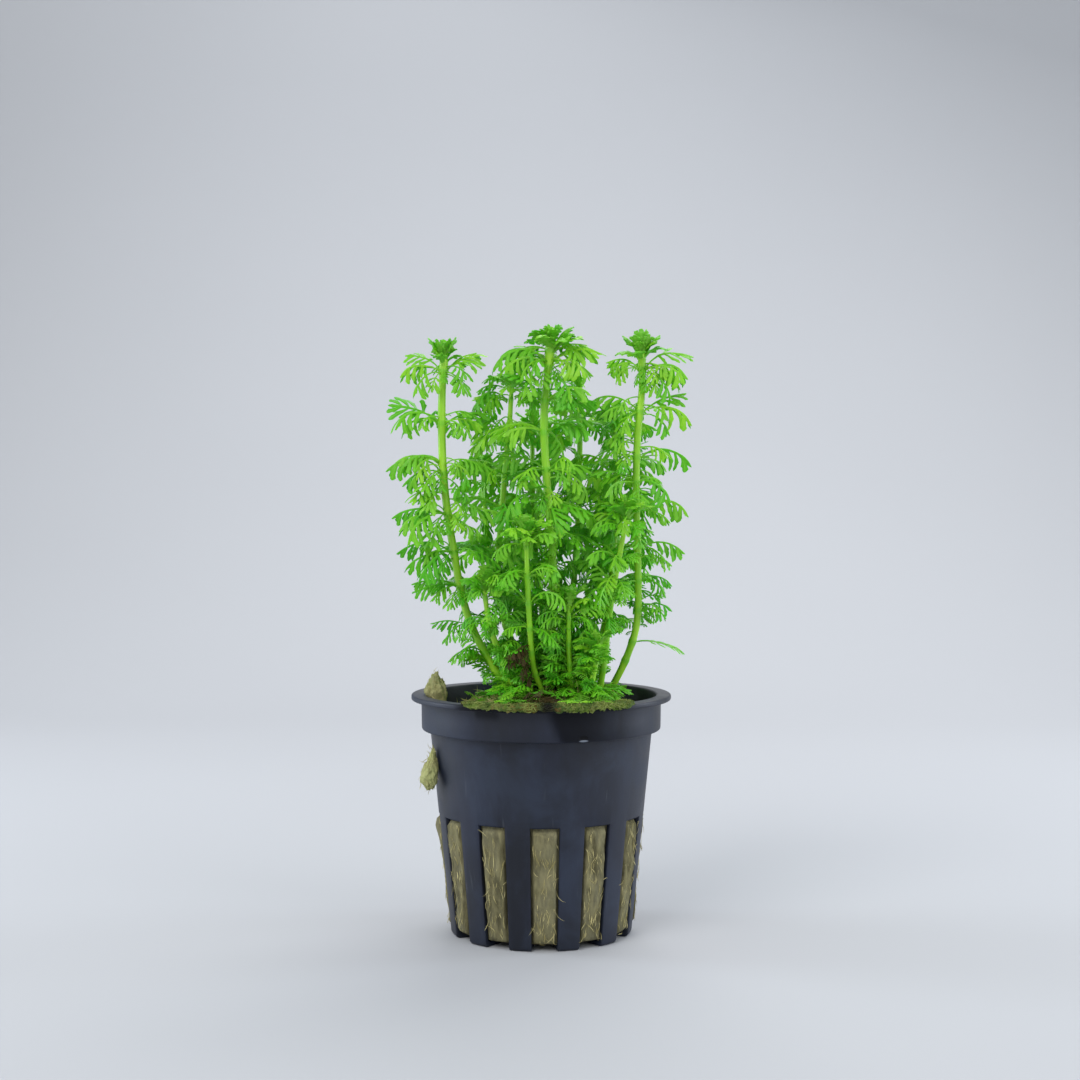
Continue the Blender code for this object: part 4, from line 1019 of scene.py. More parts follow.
# --------------------------------------------------------------------- leaves
class Pattern:
    """A flat leaf cut into fingers, in leaf lengths: rows of left, middle and right points. Middle points are doubled later, so that the blade is thick in the middle and thin at its edges."""

    def __init__(self, rng, lobes, stalk, blade, half, foot, teeth=1.0, fine=True):
        """lobes: (place, length, angle in degrees) of each pair of fingers. half: a finger's half width; foot: half the width where it joins."""
        self.points, self.tris, self.lobes, self.fine = [], [], 0, fine
        places = [p[0] for p in lobes]
        us = [(0.0, None), (0.06, None), (places[0] * 0.5, None)]
        for i, (u, _, _) in enumerate(lobes):
            us += [(u - foot, None), (u, i), (u + foot, None)]
        end = places[-1] + foot
        tail = [(0.3, 0.95, 0.9), (0.52, 1.0 + 0.38 * teeth, 1.0), (0.66, 0.88, 1.0 + 0.3 * teeth), (0.92, 0.6, 0.55)]
        wide = lambda u: float(np.interp(u, [0, 0.05, places[0] - 0.1, places[0] + 0.04, 0.8, 1.0],
                                         [stalk * 1.7, stalk, stalk, blade, blade * 0.95, blade * 0.8]))
        rows = []
        for u, i in us:
            w = wide(u)
            rows.append([self.add(u, w, inner=i is not None, across=0.6),
                         self.add(u, 0.0, inner=u > 0, across=0.0, thick=1.5),
                         self.add(u, -w, inner=i is not None, across=0.6)])
        for t, left, right in tail:
            u = end + (1.0 - end) * t
            rows.append([self.add(u, left * half, s=t), self.add(u, 0.0, inner=True, across=0.0, s=t, thick=1.0),
                         self.add(u, -right * half, s=t)])
        for a, b in zip(rows, rows[1:]):
            self.strip(a, b)
        tip = self.add(1.0, 0.0, s=1.0, across=0.5)
        self.cap(rows[-1], tip)
        for r, (u, i) in enumerate(us):
            if i is None:
                continue
            _, length, angle = lobes[i]
            for side in (1, -1):
                edge = 0 if side > 0 else 2
                near, middle, far = rows[r - 1][edge], rows[r][edge], rows[r + 1][edge]
                left, right = (near, far) if side > 0 else (far, near)
                self.lobe(rng, left, middle, right, side, math.radians(angle + rng.uniform(-4, 4)),
                          length * rng.uniform(0.92, 1.06), half * rng.uniform(0.9, 1.08), teeth)
        p = self.points
        self.u = np.array([x["u"] for x in p])
        self.v = np.array([x["v"] for x in p])
        self.pivot = np.array([x["pivot"] for x in p])
        self.lobe_of = np.array([x["lobe"] for x in p])
        self.s = np.array([x["s"] for x in p])
        self.across = np.array([x["across"] for x in p])
        self.inner = np.array([x["inner"] for x in p])
        self.thick = np.array([x["thick"] for x in p])
        top = np.array(self.tris)
        below = np.arange(len(p))
        below[self.inner] = len(p) + np.arange(self.inner.sum())
        self.faces = np.concatenate([top, below[top][:, ::-1]])
        self.under = np.repeat([0.0, 1.0], len(top))
        # Where each vertex comes from, and which way it is pushed
        self.source = np.concatenate([np.arange(len(p)), np.flatnonzero(self.inner)])
        self.push = np.concatenate([self.inner * 1.0, -np.ones(self.inner.sum())])
        # Its place on the leaf's square of a map
        span = max(1.02, 2.05 * np.abs(self.v).max())
        flat = np.stack([self.u / span, 0.5 + self.v / span], 1)
        self.flat = flat[self.source]

    def add(self, u, v, inner=False, across=1.0, s=0.0, thick=1.0, lobe=0, pivot=(0.0, 0.0)):
        self.points.append(dict(u=u, v=v, inner=inner, across=across, s=s, thick=thick, lobe=lobe, pivot=pivot))
        return len(self.points) - 1

    def strip(self, a, b):
        (l0, m0, r0), (l1, m1, r1) = a, b
        self.tris += [(m0, m1, l0), (m1, l1, l0), (r0, r1, m1), (r0, m1, m0)]

    def cap(self, a, tip):
        l, m, r = a
        self.tris += [(m, tip, l), (r, tip, m)]

    def lobe(self, rng, left, middle, right, side, angle, length, half, teeth):
        self.lobes += 1
        p = self.points[middle]
        pivot = (p["u"], p["v"])
        shift = rng.uniform(-0.04, 0.04)
        out = 1.0 + 0.42 * teeth
        rows = [(0.24, 0.8, 0.74), (0.52 + shift, out, 0.94), (0.64 + shift, 0.86, 1.0),
                (0.79, 0.88, 1.0 + 0.36 * teeth), (0.94, 0.58, 0.62)]
        if not self.fine:
            rows = [(0.34, 0.82, 0.78), (0.6 + shift, out, 0.95), (0.88, 0.72, 0.9)]
        if rng.random() < 0.5:
            rows = [(t, b, a) for t, a, b in rows]
        at, t0, bend = np.array(pivot), 0.0, math.radians(rng.uniform(6, 20))
        last = [left, middle, right]
        for t, a, b in rows + [(1.0, 0.0, 0.0)]:
            way = side * (angle - bend * (t + t0) / 2)
            at = at + length * (t - t0) * np.array([math.cos(way), math.sin(way)])
            t0 = t
            if t == 1.0:
                tip = self.add(*at, s=1.0, across=0.6, lobe=self.lobes, pivot=pivot)
                self.cap(last, tip)
                break
            across = np.array([-math.sin(way), math.cos(way)])
            lp, rp = at + across * a * half, at - across * b * half
            row = [self.add(*lp, s=t, lobe=self.lobes, pivot=pivot),
                   self.add(*at, inner=True, across=0.0, s=t, thick=1.0 - 0.35 * t, lobe=self.lobes, pivot=pivot),
                   self.add(*rp, s=t, lobe=self.lobes, pivot=pivot)]
            self.strip(last, row)
            last = row

    def placed(self, rng, length, rise, fall, power=1.0, turn=0.0, roll=0.0, twist=0.0, fold=0.3,
               curl=1.5, loose=1.0, thickness=0.22, wave=0.012):
        """The blade bent into place at the origin, pointing along +X: it leaves at the angle rise and ends at fall, and its fingers droop by fold and curl. Angles are in radians."""
        lobes = self.lobes + 1
        swing = rng.normal(0, 0.09, lobes) * loose
        stretch = 1.0 + rng.normal(0, 0.06, lobes) * loose
        drop = rng.normal(0, 0.16, lobes) * loose
        swing[0], stretch[0] = 0.0, 1.0
        k = self.lobe_of
        du, dv = (self.u - self.pivot[:, 0]) * stretch[k], (self.v - self.pivot[:, 1]) * stretch[k]
        c, s = np.cos(swing[k]), np.sin(swing[k])
        u = np.where(k > 0, self.pivot[:, 0] + c * du - s * dv, self.u)
        v = np.where(k > 0, self.pivot[:, 1] + s * du + c * dv, self.v)
        t = np.linspace(0, 1.35, 28)
        e = rise + (fall - rise) * np.minimum(t, 1.2) ** power
        a = turn * t
        way = np.stack([np.cos(e) * np.cos(a), np.cos(e) * np.sin(a), np.sin(e)], 1)
        step = (way[1:] + way[:-1]) / 2 * (t[1] - t[0])
        line = np.concatenate([[[0, 0, 0]], np.cumsum(step, 0)])
        centre = np.stack([np.interp(u, t, line[:, i]) for i in range(3)], 1)
        e, a = np.interp(u, t, e), np.interp(u, t, a)
        side = np.stack([-np.sin(a), np.cos(a), 0 * a], 1)
        up = np.stack([-np.sin(e) * np.cos(a), -np.sin(e) * np.sin(a), np.cos(e)], 1)
        tau = roll + twist * u
        side, up = (np.cos(tau)[:, None] * side + np.sin(tau)[:, None] * up,
                    np.cos(tau)[:, None] * up - np.sin(tau)[:, None] * side)
        r, sign = np.abs(v), np.sign(v)
        f = fold + drop[k] * (k > 0)
        g = curl if abs(curl) > 1e-3 else 1e-3
        y = (np.sin(f + g * r) - np.sin(f)) / g
        z = (np.cos(f + g * r) - np.cos(f)) / g
        phi = f + g * r
        phase = rng.uniform(0, 6.28, 2)
        z = z + wave * np.sin(9.0 * u + phase[0]) * np.sin(11.0 * v + phase[1])
        centre = centre + y[:, None] * sign[:, None] * side + z[:, None] * up
        normal = np.cos(phi)[:, None] * up + (np.sin(phi) * sign)[:, None] * side
        push = self.push * (thickness / 2) * self.thick[self.source]
        return centre[self.source] * length + normal[self.source] * push[:, None]


def through(points, z):
    """Where a smooth line through the points, as a function of height, is at heights z."""
    p = np.array(points, float)
    h = p[:, 2]
    slope = np.empty((len(p), 2))
    run = np.diff(p[:, :2], axis=0) / np.diff(h)[:, None]
    slope[0], slope[-1] = run[0], run[-1]
    slope[1:-1] = (run[:-1] + run[1:]) / 2
    z = np.atleast_1d(np.asarray(z, float))
    i = np.clip(np.searchsorted(h, z) - 1, 0, len(p) - 2)
    d = (h[i + 1] - h[i])[:, None]
    t = np.clip((z - h[i])[:, None] / d, 0.0, 1.0)
    a, b = p[i, :2], p[i + 1, :2]
    return ((2 * t**3 - 3 * t**2 + 1) * a + (t**3 - 2 * t**2 + t) * d * slope[i]
            + (3 * t**2 - 2 * t**3) * b + (t**3 - t**2) * d * slope[i + 1])


def reach(shoot, z):
    _, top, full = SHOOTS[shoot]
    foot = np.interp(z, [50.0, 56.0, 66.0, 80.0], [0.38, 0.62, 0.86, 1.0])
    crown = np.interp(top - z, [0.0, 2.0, 4.0, 8.0, 13.0], [0.18, 0.34, 0.66, 0.9, 1.0])
    return float(full * min(foot, crown))


def whorls_of(shoot, rng):
    top = SHOOTS[shoot][1]
    found = list(SEEN_WHORLS.get(shoot, [top - rng.uniform(7.5, 9.0)]))
    while True:
        z = found[-1]
        gap = np.interp(z, [55.0, 70.0, 90.0, 120.0], [3.8, 5.4, 7.2, 8.6]) * rng.uniform(0.9, 1.1)
        if z - gap < 53.4:
            return found
        found.append(z - gap)


def make_patterns():
    """Flat leaves: broad blunt fingers for the upper whorls, finer ones for the lower, and small wide ones for the crowns."""
    rng = np.random.default_rng(5)
    upper, lower, young, bud, plain = [], [], [], [], []
    few = [(0.40, 0.29, 62), (0.56, 0.42, 50), (0.72, 0.38, 38)]
    some = [(0.35, 0.27, 64), (0.49, 0.38, 54), (0.63, 0.40, 45), (0.77, 0.29, 35)]
    many = [(0.32, 0.24, 66), (0.44, 0.34, 58), (0.56, 0.37, 50), (0.68, 0.33, 42), (0.80, 0.23, 33)]
    for lobes, half in ((few, 0.047), (some, 0.040), (many, 0.034)) * 4:
        upper.append(Pattern(rng, lobes, 0.022, 0.032, half * 1.08, 0.028))
        plain.append(Pattern(rng, lobes, 0.022, 0.032, half * 1.14, 0.028, fine=False))
    for i in range(8):
        lobes = [(0.26, 0.24, 66), (0.39, 0.34, 60), (0.52, 0.37, 53), (0.65, 0.33, 46), (0.78, 0.24, 38)]
        lower.append(Pattern(rng, lobes, 0.021, 0.028, 0.034, 0.026, 0.9, fine=False))
    for i in range(5):
        lobes = [(0.36, 0.17, 44), (0.57, 0.21, 34), (0.78, 0.16, 24)]
        young.append(Pattern(rng, lobes, 0.09, 0.13, 0.08, 0.06, 0.6))
    for i in range(4):
        lobes = [(0.56, 0.17, 44), (0.78, 0.15, 27)]
        bud.append(Pattern(rng, lobes, 0.1, 0.2, 0.1, 0.07, 0.5))
    return upper, lower, young, bud, plain


# Between these heights the photograph shows a shoot's stem past its leaves
STEM_IN_VIEW = {"left_tall": (57.0, 130.0), "middle_tall": (97.0, 130.0), "right_tall": (60.0, 130.0),
                "front": (50.0, 81.0), "front_right": (50.0, 72.0)}


# How far a crown's leaves spread, and how many stand in its inner, middle and outer ring
CROWNS = {"left_tall": (0.4, (0, 2, 3)), "middle_tall": (1.0, (5, 5, 7)), "right_tall": (0.65, (3, 4, 4)),
          "left_inner": (0.7, (3, 4, 5)), "right_inner": (0.7, (3, 4, 5))}
CROWN_TURN = {"left_tall": 0.05, "middle_tall": 0.5, "right_tall": 0.35}
# More leaves of a crown that end up as broad tips: how far below the stem's tip, azimuth, length, rise, fall
CROWN_TIPS = {
    "left_tall": [(2.7, 184, 6.7, 76, 44), (2.7, 356, 6.6, 80, 52), (2.5, 326, 5.8, 84, 64), (2.4, 218, 5.6, 82, 60),
                  (2.2, 268, 4.4, 86, 76), (2.6, 95, 6.0, 82, 60)],
    "right_tall": [(2.6, 176, 6.4, 66, 34), (2.8, 8, 6.6, 70, 36), (2.4, 312, 5.4, 78, 56), (2.4, 228, 5.4, 76, 50),
                   (1.2, 262, 5.0, 86, 80), (1.2, 350, 5.0, 86, 72), (2.6, 90, 6.0, 78, 50)],
    "middle_tall": [(2.2, 10, 6.6, 66, 20), (2.6, 332, 6.2, 58, 0), (2.4, 206, 6.0, 62, 10)],
}
# How far to the right the crown's leaves stand from its stem
CROWN_SHIFT = {"middle_tall": 0.45}


def shoot_leaves(shoot, patterns, material):
    """All leaves of one shoot as one piece."""
    upper, lower, young, bud, plain = patterns
    points, top, full = SHOOTS[shoot]
    behind = shoot in ("back_left", "back_tall", "back_right_tall", "back_right_low", "left_inner", "right_inner")
    common = plain if behind else upper
    rng = np.random.default_rng(1000 + sorted(SHOOTS).index(shoot))
    low, high = np.array(cad_box[0]) / MM, np.array(cad_box[1]) / MM
    leaves = []
    inner = shoot not in ("left_tall", "middle_tall", "right_tall")
    tip = top - TIP_BELOW_TOP

    def leaf(pattern, z, azimuth, tint, age, far=None, length=None, wither=0.0, off=0.7, free=False, **shape):
        """far is how far from the stem the leaf's tip ends up, seen from above; it stands in for the length."""
        foot = np.array([*through(points, z)[0], z])
        foot[0] += CROWN_SHIFT.get(shoot, 0.0) if z > tip - 3.2 else 0.0
        seed = int(rng.integers(1 << 30))
        if far is not None:
            length = far * 1.1
            for _ in range(3):
                local = pattern.placed(np.random.default_rng(seed), length, **shape)
                length *= far / np.hypot(local[:, 0] + off, local[:, 1]).max()
            length = min(length, 1.25 * far)
        # A leaf that would pass the outline or an opening turns aside or is shorter
        for aside, share in ((0.0, 1.0), (0.0, 0.88), (0.3, 0.95), (-0.3, 0.95), (0.0, 0.76), (0.55, 0.9), (-0.55, 0.9), (0.0, 0.62),
                             (0.3, 0.7), (-0.3, 0.7), (0.0, 0.5)):
            c, s = math.cos(azimuth + aside), math.sin(azimuth + aside)
            local = pattern.placed(np.random.default_rng(seed), length * share, **shape)
            local[:, 0] += off
            verts = np.stack([c * local[:, 0] - s * local[:, 1], s * local[:, 0] + c * local[:, 1], local[:, 2]], 1)
            verts += foot
            if free or within_outline(verts, inner):
                leaves.append((verts, pattern, tint, age, wither))
                return

    def kinds(broad):
        """A broad, middling or fine leaf of the upper whorls."""
        return upper[3 * rng.integers(4) + broad]

    in_view = STEM_IN_VIEW.get(shoot, (0.0, 0.0))
    hidden = shoot in ("left_low", "right_low", "right_front", "back_right_low", "left_inner")
    for i, z in enumerate(whorls_of(shoot, rng)):
        depth = top - z
        aged = float(np.interp(z, [60.0, 100.0], [1.0, 0.15]) * 0.6 + np.interp(depth, [6.0, 45.0], [0.0, 0.4]))
        fine = np.interp(z, [66.0, 84.0], [1.0, 0.0])
        seen = SEEN_LEAVES.get(shoot, {}).get(z, [])
        for turn, far, rise, fall, power, fold, broad in seen:
            pattern = lower[rng.integers(len(lower))] if z < 70.0 and broad else kinds(broad)
            # The half towards the viewer hangs more than the other one
            roll = 0.42 * math.cos(math.radians(turn)) + rng.normal(0, 0.12)
            leaf(pattern, z + rng.normal(0, 0.2), math.radians(turn), rng.random(), aged, far=far, free=True,
                 rise=math.radians(rise), fall=math.radians(fall), power=power, fold=fold, roll=roll,
                 turn=rng.normal(0, 0.12), twist=rng.normal(0, 0.15), curl=rng.uniform(0.4, 1.2))
        count = (9 if rng.random() < 0.6 else 8) + (behind and z > 80.0)
        if len(seen) > 6:
            count = 0
        # Azimuths start at the viewer
        clear = 0.42 if in_view[0] < z < in_view[1] else 0.0
        phase = 0.5 if clear else rng.random()
        for j in range(count):
            azimuth = -math.pi / 2 + clear + (2 * math.pi - 2 * clear) * (j + phase) / count + rng.normal(0, 0.11)
            if any(abs((math.degrees(azimuth) - s[0] + 180) % 360 - 180) < 26 for s in seen):
                continue
            if shoot == "right_tall" and z in SEEN_LEAVES[shoot] and math.cos(azimuth) > 0.45:
                continue
            pattern = lower[rng.integers(len(lower))] if rng.random() < fine else common[rng.integers(len(common))]
            far = reach(shoot, z) * rng.uniform(0.82, 1.0)
            if shoot == "right_front" and math.cos(azimuth) > 0.2:
                far *= 0.55
            rise = np.interp(depth, [6, 12, 30], [0.85, 0.7, 0.5]) + rng.normal(0, 0.24)
            fall = np.interp(depth, [6, 12, 30], [-0.8, -0.75, -0.7]) + rng.normal(0, 0.34)
            if rng.random() < 0.32:  # hanging
                fall -= 0.75
                rise -= 0.25
                far *= 0.86
            if hidden and math.sin(azimuth) < -0.4:
                fall -= 0.4
            if z < 64:
                rise += 0.2
            leaf(pattern, z + rng.normal(0, 0.4), azimuth, rng.random(), aged, far=far, rise=rise, fall=fall,
                 power=rng.uniform(0.8, 1.6), turn=rng.normal(0, 0.22), roll=rng.normal(0, 0.42),
                 twist=rng.normal(0, 0.3), fold=rng.uniform(0.2, 1.1), curl=rng.uniform(0.3, 2.0))
        # Leaves that hang down in front of the stem, where the photograph hides it
        if i and shoot in ("left_low", "right_low", "right_front"):
            for azimuth in (-1.9, -1.25):
                pattern = lower[rng.integers(len(lower))] if z < 74.0 else kinds(1)
                leaf(pattern, z + rng.uniform(-0.6, 0.6), azimuth + rng.normal(0, 0.16), rng.random(), aged,
                     far=rng.uniform(3.8, 5.0), rise=rng.uniform(0.0, 0.4), fall=rng.uniform(-1.5, -1.2),
                     power=0.8, fold=rng.uniform(0.0, 0.5), curl=0.8, roll=rng.normal(0, 0.2))
    for z, turn, far, rise, fall, power, fold, broad in MORE_LEAVES.get(shoot, []):
        pattern = lower[rng.integers(len(lower))] if broad == 2 and z < 84.0 else kinds(broad)
        leaf(pattern, z, math.radians(turn + rng.normal(0, 4.0)), rng.random(), float(np.interp(z, [60.0, 100.0], [0.7, 0.15])),
             far=far, free=shoot == "left_tall", rise=math.radians(rise), fall=math.radians(fall), power=power, fold=fold,
             roll=0.42 * math.cos(math.radians(turn)) + rng.normal(0, 0.12), turn=rng.normal(0, 0.12),
             twist=rng.normal(0, 0.15), curl=rng.uniform(0.4, 1.2))
    # The crown: young leaves with broad tips, each ring steeper and shorter than the one below
    spread, rings = CROWNS.get(shoot, (0.85, (4, 5, 6)))
    for ring, (down, length, rise, fall) in enumerate(((0.9, 3.9, 84, 66), (1.7, 5.8, 72, 12), (2.7, 7.6, 60, -26))):
        phase = rng.uniform(0, 6.28) if ring else CROWN_TURN.get(shoot, rng.uniform(0, 6.28))
        kind = bud if ring == 0 else young
        for j in range(rings[ring]):
            azimuth = phase + 2 * math.pi * j / rings[ring] + rng.normal(0, 0.16)
            long = (length if ring == 0 else length * (0.5 + 0.5 * spread)) * rng.uniform(0.84, 1.04)
            lean = 0.0 if ring else (1.0 - spread) * 0.6
            leaf(kind[rng.integers(len(kind))], tip - down + rng.normal(0, 0.15), azimuth, rng.random(), 0.0,
                 length=long, off=0.3, rise=math.radians(rise) - lean + rng.normal(0, 0.1),
                 fall=math.radians(fall) + 0.3 * lean + rng.normal(0, 0.2), power=rng.uniform(0.9, 1.5),
                 fold=rng.uniform(-0.2, 0.5), curl=rng.uniform(0.2, 1.2), roll=rng.normal(0, 0.25), thickness=0.3, loose=1.2)
    for down, azimuth, length, rise, fall in CROWN_TIPS.get(shoot, []):
        leaf(bud[rng.integers(len(bud))], tip - down, math.radians(azimuth), 0.4, 0.0, length=length, off=0.2, free=True,
             rise=math.radians(rise), fall=math.radians(fall), power=1.3, fold=0.1, curl=0.4, thickness=0.34, loose=0.8)
    # Short leaves at the foot, close to the rockwool
    for _ in range(12):
        azimuth = rng.uniform(0, 6.28)
        if shoot in ("left_tall", "right_tall") and math.cos(azimuth) * (1 if shoot == "right_tall" else -1) > 0.1:
            azimuth += math.pi
        leaf(lower[rng.integers(len(lower))], rng.uniform(50.6, 53.6), azimuth, rng.random(), rng.uniform(0.2, 1.0),
             length=rng.uniform(4.5, 8.0), rise=rng.uniform(-0.2, 0.6), fall=rng.uniform(-0.8, -0.1),
             fold=rng.uniform(-0.1, 0.5), curl=0.8, thickness=0.2)
    for _ in range(24):
        z = rng.uniform(51.4, 59.0)
        far_side = shoot == "right_tall"
        azimuth = rng.uniform(1.7, 4.6) if far_side else rng.uniform(0, 6.28)
        leaf(lower[rng.integers(len(lower))], z, azimuth, rng.random(), rng.uniform(0.0, 0.7),
             length=rng.uniform(4.0, 8.5), rise=rng.uniform(0.3, 1.35), fall=rng.uniform(-0.7, 0.6),
             fold=rng.uniform(-0.2, 0.7), curl=1.0, thickness=0.2)
    if shoot == "right_tall":
        leaf(lower[0], 61.4, 0.05, 0.5, 0.5, length=11.2, free=True, rise=0.12, fall=-0.75, power=1.3, roll=0.06,
             fold=0.1, curl=0.2, loose=0.3)
    # Decayed leaves that hang low at the front shoot
    if shoot == "front":
        for z, azimuth, length, rise, fall in (
            (61.6, -2.25, 6.8, 0.1, -0.9), (61.2, -2.5, 6.6, 0.0, -0.7), (60.6, -2.05, 5.8, 0.1, -1.2),
            (60.0, -2.7, 6.4, 0.0, -1.0), (58.4, -2.2, 5.0, -0.2, -1.2), (57.2, -2.4, 4.6, -0.3, -1.3),
            (55.8, -2.1, 4.0, -0.3, -1.3), (54.6, -2.5, 4.4, -0.3, -1.2),
            (53.2, -0.4, 4.5, 0.0, -0.9), (52.8, -1.1, 4.2, -0.1, -0.8), (53.4, -2.0, 4.0, 0.1, -1.0),
            (54.5, 0.2, 4.6, 0.1, -1.2),
        ):
            leaf(lower[rng.integers(len(lower))], z, azimuth, 0.5, 1.0, length=length, wither=1.0, rise=rise,
                 fall=fall, fold=0.9, curl=3.0, twist=0.8, thickness=0.18, free=azimuth < -2.02)
    return leaf_piece("foliage_" + shoot, leaves, material, low, high)


def ground_leaves(patterns, material):
    """Small leaves that have dropped on the rockwool and round the feet of the stems, some of them decayed."""
    lower = patterns[1]
    rng = np.random.default_rng(77)
    low, high = np.array(cad_box[0]) / MM, np.array(cad_box[1]) / MM
    leaves = []
    for i in range(166):
        front = i < 126
        turn = rng.uniform(-0.5, 0.95) if front else rng.uniform(0.9, 5.4)
        r = rng.uniform(8.0, 25.0) if front else rng.uniform(5.0, 17.0)
        rim = r > 20.5
        flat = 0.35 if rim else 1.0
        x, y = r * math.sin(turn), -r * math.cos(turn)
        if front and not -9.0 < x < 14.5:
            continue
        z = float(wool_top(min(r, 20.0) if front else r, turn)) + (0.45 if rim else 0.1)
        dead = front and -4.0 < x < 5.0 and rng.random() < 0.8
        length = rng.uniform(2.6, 4.0) if rim else rng.uniform(3.2, 6.4)
        azimuth = rng.uniform(0, 6.28)
        pattern = lower[rng.integers(len(lower))]
        local = pattern.placed(rng, length, rng.uniform(0.1, 0.9) * flat, rng.uniform(-0.7, 0.1) * flat,
                               fold=rng.uniform(-0.1, 0.6) * flat, curl=0.8, thickness=0.2,
                               roll=rng.normal(0, 0.3) * flat, twist=0.8 if dead else 0.1)
        c, s = math.cos(azimuth), math.sin(azimuth)
        verts = np.stack([c * local[:, 0] - s * local[:, 1], s * local[:, 0] + c * local[:, 1], local[:, 2]], 1)
        verts += [x, y, z]
        # Not past the rim's edge, and on it rather than in it
        far = np.hypot(verts[:, 0], verts[:, 1])
        out = far.argmax()
        if far[out] > 27.3:
            verts[:, :2] *= 1.0 - 1.0 * (far[out] - 27.3) / far[out]
        over = np.hypot(verts[:, 0], verts[:, 1]) > 23.4
        if over.any():
            verts[:, 2] += max(0.0, 50.9 - verts[over, 2].min())
        leaves.append((verts, pattern, rng.random(), rng.uniform(0.3, 1.0), 1.0 if dead else rng.uniform(0.05, 0.45)))
    for x, y, azimuth, length in ((4.7, -24.2, 0.3, 3.2), (6.4, -24.6, 2.3, 3.0), (5.5, -25.4, 1.2, 2.4), (8.6, -24.4, 0.8, 2.6),
                                  (-8.2, -24.2, 2.6, 2.8)):
        pattern = lower[rng.integers(len(lower))]
        local = pattern.placed(rng, length, 0.2, -0.2, fold=0.1, curl=0.6, thickness=0.2)
        c, s = math.cos(azimuth), math.sin(azimuth)
        verts = np.stack([c * local[:, 0] - s * local[:, 1], s * local[:, 0] + c * local[:, 1], local[:, 2]], 1)
        verts += [x - c * length / 2, y - s * length / 2, 51.3]
        far = np.hypot(verts[:, 0], verts[:, 1]).max()
        verts[:, :2] *= min(1.0, 27.3 / far)
        leaves.append((verts, pattern, 1.0, 0.0, 0.0))
    return leaf_piece("foliage_fallen", leaves, material, low, high)


def within_outline(verts, inner):
    """Whether a leaf stays inside the outline that the photograph shows of the whole plant."""
    near = 370.0 / (370.0 + verts[:, 1])
    x, z = verts[:, 0] * near, 83.0 + (verts[:, 2] - 83.0) * near
    up = OUTLINE[::-1]
    if (x < np.interp(z, up[:, 0], up[:, 1]) - 0.3).any() or (x > np.interp(z, up[:, 0], up[:, 2]) + 0.3).any():
        return False
    for at_x, at_z, wide, tall in OPENINGS:
        if (((x - at_x) / wide) ** 2 + ((z - at_z) / tall) ** 2 < 1.0).any():
            return False
    for shoot, (lowest, highest) in STEMS_FREE.items():
        points = np.array(SHOOTS[shoot][0])
        stem_x, stem_y = (np.interp(verts[:, 2], points[:, 2], points[:, i]) for i in (0, 1))
        before = (verts[:, 1] < stem_y - 0.6) & (np.abs(x - stem_x * 370.0 / (370.0 + stem_y)) < 0.7)
        if (before & (verts[:, 2] > lowest) & (verts[:, 2] < highest)).sum() > 2:
            return False
    if not inner:
        return True
    # The inner shoots' leaves hardly pass the tall stem on the right
    return bool((z < np.interp(x, SKYLINE[:, 0], SKYLINE[:, 1])).all()) and not bool(((x > 24.5) & (z > 66.0) & (z < 96.0)).any())


def leaf_piece(name, leaves, material, low, high):
    verts, tris, tint, age, wither, along, across, under, uv = [], [], [], [], [], [], [], [], []
    start = 0
    cells = math.ceil(math.sqrt(2 * len(leaves)))
    for i, (v, pattern, t, a, w) in enumerate(leaves):
        verts.append(v)
        tris.append(pattern.faces + start)
        start += len(v)
        tint.append(np.full(len(v), t))
        age.append(np.full(len(v), a))
        wither.append(np.full(len(v), w))
        along.append(pattern.u[pattern.source])
        across.append(pattern.across[pattern.source])
        under.append(pattern.under)
        half = len(pattern.faces) // 2
        for side, faces in enumerate((pattern.faces[:half], pattern.faces[half:])):
            cell = 2 * i + side
            corner = np.array([cell % cells, cell // cells])
            uv.append((corner + 0.06 + 0.88 * pattern.flat[faces.ravel()].clip(0, 1)) / cells)
    verts = np.concatenate(verts)
    over = np.maximum(low - verts, verts - high).max()
    if over > 0:
        print("PAST THE BOX", name, round(float(over), 2), int((np.maximum(low - verts, verts - high).max(1) > 0).sum()))
    verts = verts.clip(low, high)
    return mesh_object(name, verts, np.concatenate(tris), material, 62.0,
                       {"tint": np.concatenate(tint), "age": np.concatenate(age),
                        "wither": np.concatenate(wither), "along": np.concatenate(along),
                        "across": np.concatenate(across), "under:face": np.concatenate(under)},
                       np.concatenate(uv))


